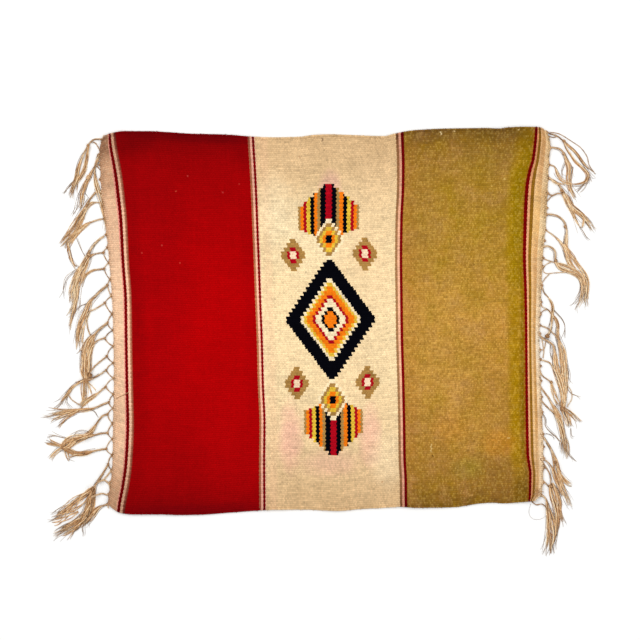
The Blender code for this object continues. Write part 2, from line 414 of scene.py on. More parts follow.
def lift(x, y, reach, up):
    # how far the laid cloth stands off the floor
    fromEnd = np.minimum(reach, 1 - reach) * web["cutMarks"][-1]
    fromSelvage = np.minimum(up, 1 - up) * web["ribs"] * web["ribPitch"]
    raised = np.clip(1 - (fromEnd + fromSelvage) / web["cornerReach"], 0, 1) ** web["cornerCurve"]
    raised = web["cornerLift"] * raised
    short, long = web["rufflePitch"]
    ripple = 0.5 + 0.5 * np.sin(x / short + 1.7 * np.sin(x / long) + 2.0 * (up > 0.5))
    raised += web["ruffle"] * ripple ** 2 * np.clip(1 - fromSelvage / web["ruffleReach"], 0, 1) ** 2
    bend, bendPitch = web["ridgeBend"]
    for ridge in ridges:
        turn = math.radians(ridge.turn)
        along = (x - ridge.x) * math.cos(turn) + (y - ridge.y) * math.sin(turn)
        across = (y - ridge.y) * math.cos(turn) - (x - ridge.x) * math.sin(turn)
        across = across + bend * np.sin(along / bendPitch + ridge.x)
        raised += ridge.height * np.exp(-(along / ridge.length) ** 2 - (across / ridge.width) ** 2)
    return raised


def webLayer(rowsPerRib, groove, crest, away):
    # one face of the cloth as rows of points, with their places in the flat cut
    rows = web["ribs"] * rowsPerRib
    row = np.arange(rows + 1)[:, None]
    rib = row / rowsPerRib
    cut = np.linspace(0, web["cutMarks"][-1], web["columns"] + 1)[None, :]
    swell = np.abs(np.sin(np.pi * (rib % 1.0))) ** web["ribRoundness"]
    wander = sum(size * np.sin(cut / pitch + rib * change) for size, pitch, change in web["wander"])
    inner = np.sin(np.pi * row / rows) ** 0.5
    up = (row + wander * rowsPerRib * inner) / rows
    x, y, reach = spread(cut, up)
    ends = np.zeros(web["columns"] + 1)
    ends[[0, -1]] = -web["endBulge"], web["endBulge"]
    x = x + ends * (swell - 0.5)
    z = crest + away * groove * (1 - swell) + lift(x, y, reach, up)
    cuts = np.stack(np.broadcast_arrays(cut, rib * web["ribPitch"]), axis=-1)
    return np.stack([x, y, z], axis=-1), cuts


def gridFaces(rows, columns, first, flip):
    r, c = np.meshgrid(np.arange(rows), np.arange(columns), indexing="ij")
    a = first + r * (columns + 1) + c
    quads = np.stack([a, a + 1, a + columns + 2, a + columns + 1], axis=-1).reshape(-1, 4)
    return (quads[:, ::-1] if flip else quads).tolist()


def weftTurns(end):
    # the loops of weft round the outermost warp of one selvage
    points, faces, cuts = [], [], []
    upper = end == 1
    out = 1.0 if upper else -1.0
    inset = turns["start"] / web["ribs"]
    sweep = turns["sweep"] * math.pi
    angles = np.linspace(sweep, -sweep, turns["stations"])
    high = web["ribs"] * web["ribPitch"] - turns["dyedAt"] if upper else turns["dyedAt"]
    for k in range(int(web["cutMarks"][-1] / turns["pitch"])):
        cut = (k + 0.5) * turns["pitch"] + rng.normal(0, turns["pitchSpread"])
        x, y, reach = (float(value) for value in spread(cut, 1.0 - inset if upper else inset))
        base = float(lift(x, y, reach, float(end)))
        radius = turns["radius"] * rng.uniform(*turns["radiusRange"])
        reachOut = radius + max(0.0, rng.normal(*turns["extraReach"])) + turns["reach"]
        lean = rng.normal(0, turns["lean"])
        line = np.stack([
            x + lean * np.sin(angles),
            y + out * (reachOut * np.cos(angles)),
            base + web["thickness"] / 2 + radius * turns["flatness"] * np.sin(angles),
        ], axis=1)
        line[:, 2] = np.maximum(line[:, 2], base + turns["lowest"])
        yarn = turns["yarn"] * rng.uniform(*turns["yarnRange"])
        rings, added = tubeRings(line, yarn, turns["sides"])
        faces.extend(renumbered(added, len(points)))
        points.extend(rings)
        cuts.extend([(cut, high)] * len(rings))
    return points, faces, cuts


def buildWeb(material, shift):
    top, topCuts = webLayer(web["ribRows"], web["topGroove"], web["thickness"], -1.0)
    under, underCuts = webLayer(web["underRows"], web["underGroove"], 0.0, 1.0)
    columns = web["columns"]
    topRows, underRows = len(top) - 1, len(under) - 1
    underFirst = top.shape[0] * top.shape[1]
    faces = gridFaces(topRows, columns, 0, False) + gridFaces(underRows, columns, underFirst, True)
    ratio = topRows // underRows
    for c in range(columns):  # the selvages
        a, b = c, underFirst + c
        faces.append([b, b + 1, a + 1, a])
        a, b = topRows * (columns + 1) + c, underFirst + underRows * (columns + 1) + c
        faces.append([b + 1, b, a, a + 1])
    for r in range(underRows):  # the two ends
        for c, flip in ((0, False), (columns, True)):
            low = underFirst + r * (columns + 1) + c
            rim = [(r * ratio + k) * (columns + 1) + c for k in range(ratio + 1)]
            ring = [low + columns + 1, low, *rim]
            faces.append(ring[::-1] if flip else ring)
    points = np.vstack([top.reshape(-1, 3), under.reshape(-1, 3)])
    cuts = np.vstack([topCuts.reshape(-1, 2), underCuts.reshape(-1, 2)])
    for end in (0, 1):
        turnPoints, turnFaces, turnCuts = weftTurns(end)
        faces += renumbered(turnFaces, len(points))
        points = np.vstack([points, turnPoints])
        cuts = np.vstack([cuts, turnCuts])
    piece = meshPiece("serapeWeb", points, faces, material, shift)
    corners = np.zeros(len(piece.data.loops), np.int32)
    piece.data.loops.foreach_get("vertex_index", corners)
    addUv(piece, "cut", cuts[corners] * mm)
    print("web woven:", len(piece.data.polygons), "faces")
    return piece


# Bands of weft along the cut: where each starts in mm, its dye in the middle, its colour at the selvages with
# painted shade, and whether it is pale, undyed wool, whose painted shade stays nearer the selvages.
bands = table("name start dye edge pale", (
    ("left end", 0.0, "F4CAA6", "C69876", 1),
    ("bleed 1", 16.4, "F49C8C", "CC8474", 1),
    ("dark red 1", 18.0, "7A0407", "5A0305", 0),
    ("pale 1", 22.4, "FCC9A8", "C29478", 1),
    ("brown 1", 25.8, "BC7E5E", "6A2C24", 0),
    ("shade 1", 27.9, "A24A38", "5A1612", 0),
    ("red field", 29.3, "B60205", "790407", 0),
    ("brown 2", 219.3, "BA7A50", "8A4A36", 0),
    ("pale 2", 222.0, "FDC0A2", "DDA28C", 1),
    ("dark red 2", 225.0, "8C070B", "66050A", 0),
    ("bleed 2", 228.4, "FACDAB", "DCAA8A", 1),
    ("cream field", 230.0, "FAE0B0", "D0AD80", 1),
    ("brown 3", 427.6, "B08054", "7A4C30", 0),
    ("pale 3", 431.3, "FCC09A", "D09478", 1),
    ("dark red 3", 434.5, "84060A", "5C0408", 0),
    ("olive field", 438.7, "C38F3E", "7B571E", 0),
    ("green", 618.6, "94740E", "6E5412", 0),
    ("dark red 4", 624.0, "800507", "600306", 0),
    ("pale 4", 627.9, "F2B484", "CC8C5C", 1),
    ("brown 4", 630.2, "9A6C1E", "785018", 0),
    ("right end", 633.5, "EBBD84", "E0B584", 1),
    ("right edge", 640.4, "FCDCAC", "EAC594", 1),
))

# How far each band has come from its painted-shade colour at the selvages, for dark and for pale bands, at a
# share of the way to the middle of the web.
selvageShades = table("share dyed pale", (
    (0.0, 0.0, 0.0), (0.05, 0.16, 0.02), (0.12, 0.36, 0.08), (0.22, 0.5, 0.22), (0.38, 0.62, 0.55),
    (0.64, 0.84, 0.84), (1.0, 1.0, 1.0),
))

# The fields that are tinted apart from the rest, from and to in mm along the cut.
fields = {
    "left": (-9.0, 16.0),
    "red": (29.3, 218.2),
    "cream": (231.0, 427.0),
    "olive": (439.6, 623.6),
    "right": (633.6, 640.0),
    "rim": (640.0, 655.0),
    "leftKnots": (-9.0, 2.2),
    "rightKnots": (643.6, 655.0),
}

# Stains and bleeds of each field, and painted shade along the selvages: middle in the flat cut and half
# widths in mm, dye and how strong.
stainsAndEdgeShade = {
    "olive": (
        (610, 286, 12, 900, "A67E00", 0.92), (615, 480, 8, 130, "7E6400", 0.45),
        (608, 556, 14, 26, "5A3A00", 0.4), (619.5, 160, 4.5, 170, "6A4600", 0.5),
        (623.4, 286, 1.7, 900, "AC4418", 0.5), (446, 290, 16, 240, "BC7A3C", 0.35),
        # these two are painted shade along the upper selvage
        (482, 566, 40, 15, "6A4A2A", 0.7), (572, 566, 46, 17, "61421F", 0.7),
        (560, 525, 44, 26, "8B6630", 0.35), (507, 119, 26, 22, "CE8A34", 0.4),
        (583, 92, 26, 20, "C57F24", 0.5), (533, 57, 26, 16, "8E8A30", 0.3), (590, 30, 40, 36, "8A6030", 0.5),
        (612, 12, 13, 26, "583A10", 0.66), (500, 240, 60, 110, "C79A48", 0.3),
        (470, 420, 26, 90, "A97A40", 0.3), (562, 425, 130, 125, "95820D", 0.26),
        (540, 548, 90, 20, "7A5A20", 0.25), (540, 110, 50, 40, "D6A04A", 0.22),
    ),
    "cream": (
        (266, 112, 17, 50, "F4A0A0", 0.4), (386, 112, 16, 46, "F4A0A0", 0.36),
        (332, 486, 15, 30, "E9A0A8", 0.36), (326, 72, 42, 20, "F6B0A8", 0.26),
        (240, 280, 7, 900, "EDBC96", 0.3), (252, 458, 30, 50, "FFEAC2", 0.4),
        (410, 74, 26, 42, "FFE6BC", 0.45), (300, 420, 60, 60, "FBE8BE", 0.4),
        (380, 330, 40, 160, "F3D0A2", 0.3),
    ),
    "left": (
        (6, 558, 26, 28, "7C5038", 0.76), (6, 430, 20, 50, "E9BC98", 0.4), (5, 506, 16, 26, "AE8262", 0.36),
        (8, 78, 14, 30, "F8D0AE", 0.38), (8, 10, 24, 26, "A88468", 0.45),
    ),
    "right": (
        (640, 80, 16, 90, "C08E50", 0.15), (640, 20, 20, 60, "9A7446", 0.6),
        (635.5, 12, 3, 40, "A07232", 0.8), (637, 418, 5, 44, "F0C07C", 0.5),
        (638.0, 250, 2.6, 900, "C8955E", 0.62), (638.0, 200, 3.0, 130, "B88434", 0.5),
        (635.4, 170, 1.2, 170, "F8D29C", 0.55), (637, 442, 5, 40, "FCD088", 0.5),
        (640, 66, 2.6, 50, "F6D0A0", 0.5), (636, 556, 5, 44, "A87438", 0.4),
    ),
    "rim": (
        (644, 170, 5, 260, "FFE2BE", 0.8), (642, 418, 9, 44, "FFE0AC", 0.6),
        (640, 66, 2.6, 50, "F6D0A0", 0.5), (643.5, 362, 4, 44, "CC9C5C", 0.5),
        (643.5, 462, 4, 24, "C89858", 0.55), (643.5, 128, 4, 22, "CC9C68", 0.5),
        (643.5, 236, 4, 34, "FFF4E0", 0.55),
    ),
    "red": (
        (28, 286, 20, 900, "8A0306", 0.55), (218, 286, 16, 900, "A00206", 0.45),
        (44, 560, 40, 26, "640306", 0.55), (214, 556, 14, 40, "6E0306", 0.4),
        (65, 340, 55, 170, "84040A", 0.32), (180, 100, 50, 100, "D20408", 0.18),
        # these two are painted shade along the upper and lower selvages
        (150, 566, 90, 9, "5E0308", 0.55), (130, 6, 110, 9, "6E030A", 0.45),
    ),
}

# Single slubs, burrs and knots in the yarn.
slubs = table("u v wide high dye", (
    (127, 507, 1.2, 1.4, "B23A34"), (107, 483, 1.3, 1.1, "BE4A34"), (177, 483, 1.2, 1.3, "B43A36"),
    (81, 401, 1.1, 1.1, "C04238"), (106, 376, 1.2, 1.2, "C83C30"), (49, 389, 1.2, 1.2, "C43A30"),
    (202, 497, 1.2, 1.2, "B83028"), (478, 90, 1.2, 7.0, "DDBB78"), (480, 78, 1.2, 1.6, "5A3C14"),
    (598, 99, 2.4, 1.2, "DDB870"), (491, 564, 1.3, 3.0, "E4CC96"), (510, 567, 1.8, 1.3, "DCBC84"),
    (591, 493, 1.4, 1.8, "E0C070"), (573, 483, 1.4, 1.3, "D8B05A"), (601, 567, 1.6, 1.3, "E0C484"),
    (324, 563, 1.2, 3.2, "6A4A34"), (429, 565, 1.2, 3.2, "4A2A1C"), (291, 540, 1.4, 1.6, "C89A70"),
    (402, 40, 1.4, 1.6, "B98A60"),
))

# Noises of the cloth: how fast each changes along the warp and the weft, per mm, the layer it is cut from,
# its detail and roughness, and whether it is the same all over a stitch.
noises = table("name u v layer detail roughness stitched", (
    ("streak", 0.55, 0.016, 0.0, 3.0, 0.6, True),
    ("weftLine", 1.9, 0.05, 4.0, 1.0, 0.5, True),
    ("cloud", 0.014, 0.014, 0.0, 4.0, 0.6, False),
    ("grain", 0.33, 0.28, 7.0, 2.0, 0.6, False),
    ("mottle", 0.045, 0.045, 9.0, 3.0, 0.6, False),
    ("patch", 0.03, 0.02, 5.0, 4.0, 0.65, False),
    ("knots", 0.6, 0.16, 2.0, 2.0, 0.6, False),
))

# Tints that follow a noise, below and above the stains: where they start and stop in it, how strong they are
# there, on which field they lie and their dye.
tints = {
    "below": (
        ("patch", 0.48, 0.68, 0.0, 0.55, "olive", "A07A14"),
        ("patch", 0.30, 0.50, 0.45, 0.0, "olive", "BE8B58"),
        ("cloud", 0.35, 0.70, 0.0, 0.30, "cream", "F3CFA0"),
    ),
    "above": (
        ("stitch", 0.50, 1.00, 0.0, 0.13, "olive", "E6C46A"),
        ("stitch", 0.00, 0.50, 0.24, 0.0, "olive", "A07000"),
        ("grain", 0.50, 0.75, 0.0, 0.34, "ends", "C08E60"),
        ("grain", 0.28, 0.46, 0.34, 0.0, "ends", "FBE0B6"),
        # painted shade between the knots on the two ends of the web
        ("knots", 0.50, 0.62, 0.0, 0.65, "rightKnots", "8C6C48"),
        ("knots", 0.52, 0.64, 0.0, 0.55, "leftKnots", "9A7450"),
    ),
}

wool = {
    "pick": 2.2,  # between two stitches on the same rib, mm
    "jag": 0.25,  # how far a stripe's edge follows the stitches
    "ribChange": (1.37, 0.3),  # how ribLine changes from rib to rib, and where it starts
    "stitch": 0.20,  # how much each noise changes the tone
    "weftLine": 0.22,
    "grain": 0.40,
    "ribLine": 0.66,
    "streak": 0.30,
    "cloud": 0.26,
    "redCalm": 0.6,  # how much evener the red field is
    "stainEdge": (-0.3, 1.9),
    "slubEdge": (0.7, 1.15),
    "slubStrength": 0.7,
    "gapShape": (4.0, 5.0),
    "gapDepth": 0.32,
    "gapShade": 0.5,
    "stitchRound": 2.5,
    "stitchRise": 0.25,
    "look": {"Roughness": 0.95, "Specular IOR Level": 0.01},
    "bump": {"Strength": 0.8, "Distance": 0.0004},
}

# The woven figure: nested stepped diamonds with striped blocks, the same in all four quarters. Sizes in mm.
figure = {
    "u": 330.5,
    "v": 291.0,
    "step": 4.4,
    "rise": 6.24,
    "diamond": (67.3, 95.5),
    "small": (22.4, 31.8),
    "smallAt": 121.0,
    "side": (18.0, 25.4),
    "sideAt": (53.0, 99.0),
    "blockWide": 44.0,
    "blockSteps": 6.0,
    "blockFrom": 122.0,
    "blockTo": 206.0,
    "diamondDyes": ((0.0, "F27C14"), (0.13, "05060D"), (0.25, "F8E2B8"), (0.33, "AE0A1C"), (0.45, "F27C14"),
                    (0.53, "E2B93C"), (0.61, "F8E2B8"), (0.67, "07070D")),
    "smallDyes": ((0.0, "05060D"), (0.22, "F27C14"), (0.42, "E0B93B"), (0.62, "AB8145"), (0.82, "F8E2B8")),
    "sideDyes": ((0.0, "F6D7B4"), (0.3, "AE0A1C"), (0.72, "AB8145")),
    "blockDyes": ((0.0, "AE0A1C"), (0.10, "05060D"), (0.26, "AC8347"), (0.36, "F27C14"), (0.48, "05060D"),
                  (0.60, "E0B93B"), (0.72, "AE0A1C"), (0.82, "F27C14"), (0.92, "AC8347")),
}


def paint(colour, shape, along, name):
    # lays dyes over the colour where shape is 1, by how far along is
    return shape.mix(colour, along.ramp(figure[name + "Dyes"], "CONSTANT"))


def paintDiamond(colour, p, q, name):
    # p and q are the distances from its middle; far is 0 there and 1 at its stepped edge
    wide, high = figure[name]
    stepped = ((p / figure["step"]).floor() + 0.5) * (figure["step"] / wide)
    risen = ((q / figure["rise"]).floor() + 0.5) * (figure["rise"] / high)
    far = stepped + risen
    return paint(colour, far < 1.0, far, name)


def paintFigure(colour, uAt, vAt):
    # the figure over the ground, on the stitches
    p = abs(uAt - figure["u"])
    q = abs(vAt - figure["v"])
    colour = paintDiamond(colour, p, q, "diamond")
    sideU, sideV = figure["sideAt"]
    colour = paintDiamond(colour, abs(p - sideU), abs(q - sideV), "side")
    bar = p / figure["blockWide"]
    inset = (bar * figure["blockSteps"]).floor() * figure["rise"]
    block = (bar < 1.0) * (q > inset * 0.5 + figure["blockFrom"]) * (q < figure["blockTo"] - inset)
    colour = paint(colour, block, bar, "block")
    return paintDiamond(colour, p, abs(q - figure["smallAt"]), "small")


def shadedBandDyes(number, v):
    # the dye of each band, darkened towards the selvages by painted shade
    half = web["ribs"] * web["ribPitch"] / 2
    inward = 1.0 - abs(v - half) / half
    dyed = inward.ramp((shadeRow.share, shadeRow.dyed) for shadeRow in selvageShades)
    pale = inward.ramp((shadeRow.share, shadeRow.pale) for shadeRow in selvageShades)
    isPale, edge, middle = (
        number.ramp([(k / len(bands), getattr(band, name)) for k, band in enumerate(bands)], "CONSTANT")
        for name in ("pale", "edge", "dye"))
    # from the painted-shade colour at the selvages to the dye in the middle
    return isPale.mix(dyed, pale).mix(edge, middle)


def tintBy(colour, rows, noise, masks):
    for row in table("noise low high atLow atHigh field dye", rows):
        amount = noise[row.noise].within(row.low, row.high, row.atLow, row.atHigh)
        colour = (amount * masks[row.field]).mix(colour, dye(row.dye))
    return colour


def clothNoises(start, u, v, uAt, vAt, stitch, rib):
    noise = {"stitch": start.add("ShaderNodeTexWhiteNoise", None, {"Vector": stitch.place(rib)})}
    for row in noises:
        overU, overV = (uAt, vAt) if row.stitched else (u, v)
        point = (overU * row.u).place(overV * row.v, row.layer)
        noise[row.name] = point.noise(row.detail, row.roughness)
    change, first = wool["ribChange"]
    noise["ribLine"] = (u * 0.05).place(rib * change + first, 8.0).noise(2.0, 0.6)
    return noise


def stainAndShadeBy(colour, u, v, mottle, masks):
    for field, rows in stainsAndEdgeShade.items():
        for row in table("u v wide high dye strength", rows):
            far = ((u - row.u) / row.wide) ** 2.0 + ((v - row.v) / row.high) ** 2.0 + mottle
            amount = far.within(*wool["stainEdge"], row.strength, 0.0) * masks[field]
            colour = amount.mix(colour, dye(row.dye))
    return colour


def unevenTone(noise, isRed):
    # how bright the wool is, round 1
    tones = {name: (noise[name] - 0.5) * wool[name]
             for name in ("stitch", "weftLine", "grain", "ribLine", "streak", "cloud")}
    uneven = tones["stitch"] + tones["weftLine"] + tones["grain"] + tones["ribLine"]
    return 1.0 + uneven * (1.0 - isRed * wool["redCalm"]) + tones["streak"] + tones["cloud"]


def wovenWool():
    material, start = newMaterial("woven wool", wool["look"])
    cut = start.add("ShaderNodeUVMap", {"uv_map": "cut"})
    u = cut.part(0) * 1000.0
    v = cut.part(1) * 1000.0
    rib = (v / web["ribPitch"]).floor()
    across = (v / web["ribPitch"]).fract() - 0.5
    odd = rib.modulo(2.0) * 0.5  # stitches are staggered from rib to rib
    stitchPlace = u / wool["pick"] + odd
    stitch = stitchPlace.floor()
    along = stitchPlace.fract() - 0.5
    uAt = (stitch + 0.5 - odd) * wool["pick"]
    vAt = (rib + 0.5) * web["ribPitch"]
    noise = clothNoises(start, u, v, uAt, vAt, stitch, rib)
    masks = {name: (u > low) * (u < high) for name, (low, high) in fields.items()}
    masks["ends"] = masks["left"] + masks["right"] + masks["rim"]

    # the bands, their stains and the figure
    place = u + (uAt - u) * wool["jag"]
    number = place > bands[1].start
    for band in bands[2:]:
        number = number + (place > band.start)
    colour = shadedBandDyes((number + 0.5) / len(bands), v)
    colour = tintBy(colour, tints["below"], noise, masks)
    colour = stainAndShadeBy(colour, u, v, noise["mottle"] * 1.6 - 0.8, masks)
    colour = tintBy(colour, tints["above"], noise, masks)
    colour = paintFigure(colour, uAt, vAt)

    # the yarn
    colour = colour.tint(unevenTone(noise, masks["red"]))
    for row in slubs:
        far = abs((uAt - row.u) / row.wide).most(abs((v - row.v) / row.high))
        colour = far.within(*wool["slubEdge"], wool["slubStrength"], 0.0).mix(colour, dye(row.dye))
    alongShape, acrossShape = wool["gapShape"]
    gap = ((abs(along) * 2.0) ** alongShape).most((abs(across) * 2.0) ** acrossShape)
    colour = (gap * wool["gapDepth"]).mix(colour, colour.tint(wool["gapShade"]))
    height = 1.0 - (abs(along) * 2.0) ** wool["stitchRound"] + noise["stitch"] * wool["stitchRise"]
    return joinShader(material, colour, height, wool["bump"])


# Routes are in mm from the middle of the serape. A cord is twisted, a tress is a cord that opens, loose yarns
# lie side by side, wisps are worn fibres, and a knot is a few turns of yarn. A tied run ends in a knot.
# Widths are spread evenly along the run.
Run = namedtuple("Run", "kind yarns widths route")
Knot = namedtuple("Knot", "x y size turn")

fringe = {
    "yarn": 0.52,  # radius of one warp yarn, mm
    "sides": 6,
    "plies": 0.16,  # how far the two plies swell the section
    "lay": 7.0,
    "step": 2.5,  # between two sections of a yarn
    "half": (440.0, 350.0),  # of the floor that the fringe lies on
    "cell": 0.5,  # of the grid that keeps what lies where
    "touch": 0.8,  # of a yarn's radius: how wide it rests
    "steepest": 0.45,
    "sag": 0.25,  # of a yarn's radius: how far it sinks where it bridges others
    "nest": 0.55,  # how much of a yarn's height the next one climbs
}

# How much paler, fuller and more unruly than the rest some tassels are.
Temper = namedtuple("Temper", "tone girth wander", defaults=(1.0,))
tempers = {
    "left_01": Temper(-0.7, 1.04), "left_02": Temper(-0.5, 1.04), "left_04": Temper(0.1, 0.92),
    "left_05": Temper(0.3, 0.84), "left_06": Temper(0.1, 0.85, 1.3), "left_07": Temper(0.0, 0.9),
    "left_08": Temper(-0.3, 0.86, 1.4), "left_09": Temper(-0.1, 0.9), "left_10": Temper(-0.7, 0.85, 1.6),
    "left_11": Temper(-0.4, 0.86, 2.2), "right_01": Temper(-1.1, 1.06, 0.8), "right_02": Temper(-0.5, 1.08),
    "right_04": Temper(0.25, 0.9), "right_05": Temper(0.35, 0.86), "right_06": Temper(-0.4, 0.8),
    "right_07": Temper(0.1, 0.84, 1.3), "right_09": Temper(-0.3, 0.98), "right_10": Temper(-0.4, 0.92),
    "right_11": Temper(-0.4, 0.96, 1.3),
}

# Threads that have worked loose and lie on the web.
looseThreads = {
    "left": (((-307.4, -85.7), (-299.9, -81.9), (-293.1, -79.1), (-288.2, -76.1)),),
    "right": (((320.5, -220.8), (323, -226), (324.5, -230), (321, -236)),
              ((329, -219.5), (326, -224), (322.5, -229), (318.5, -237.8)),
              ((318, -229), (324, -227.5), (330, -224.5), (334, -225.8)),
              ((320, -234), (325, -231), (329, -228), (333, -231)),
              ((324, -221), (326.5, -226), (331, -229))),
}

# Heights of the small knots on the two ends of the web.
edgeKnots = {
    "left": (303, 281, 265, 243, 222, 203, 184, 160, 141, 118, 93, 68, 41, 17, -7, -32, -55, -79, -100, -123,
             -146, -170, -193, -211, -229, -244),
    "right": (313, 307, 290, 265, 245, 222, 200, 190, 167, 151, 142, 125, 112, 84, 59, 40, 24, 12, -13, -27,
              -37, -59, -83, -106, -139, -158, -175, -190, -212, -230),
}

# The second row of knots on the left, each tied from the neighbouring halves of two edge knots.
meshKnots = (
    (-326, 133), (-325, 109), (-320, 85), (-324, 58), (-320, 28), (-324, 5), (-321, -22), (-322, -43),
    (-323, -68), (-318, -91), (-320, -109), (-320, -137), (-322, -161), (-319, -184),
)

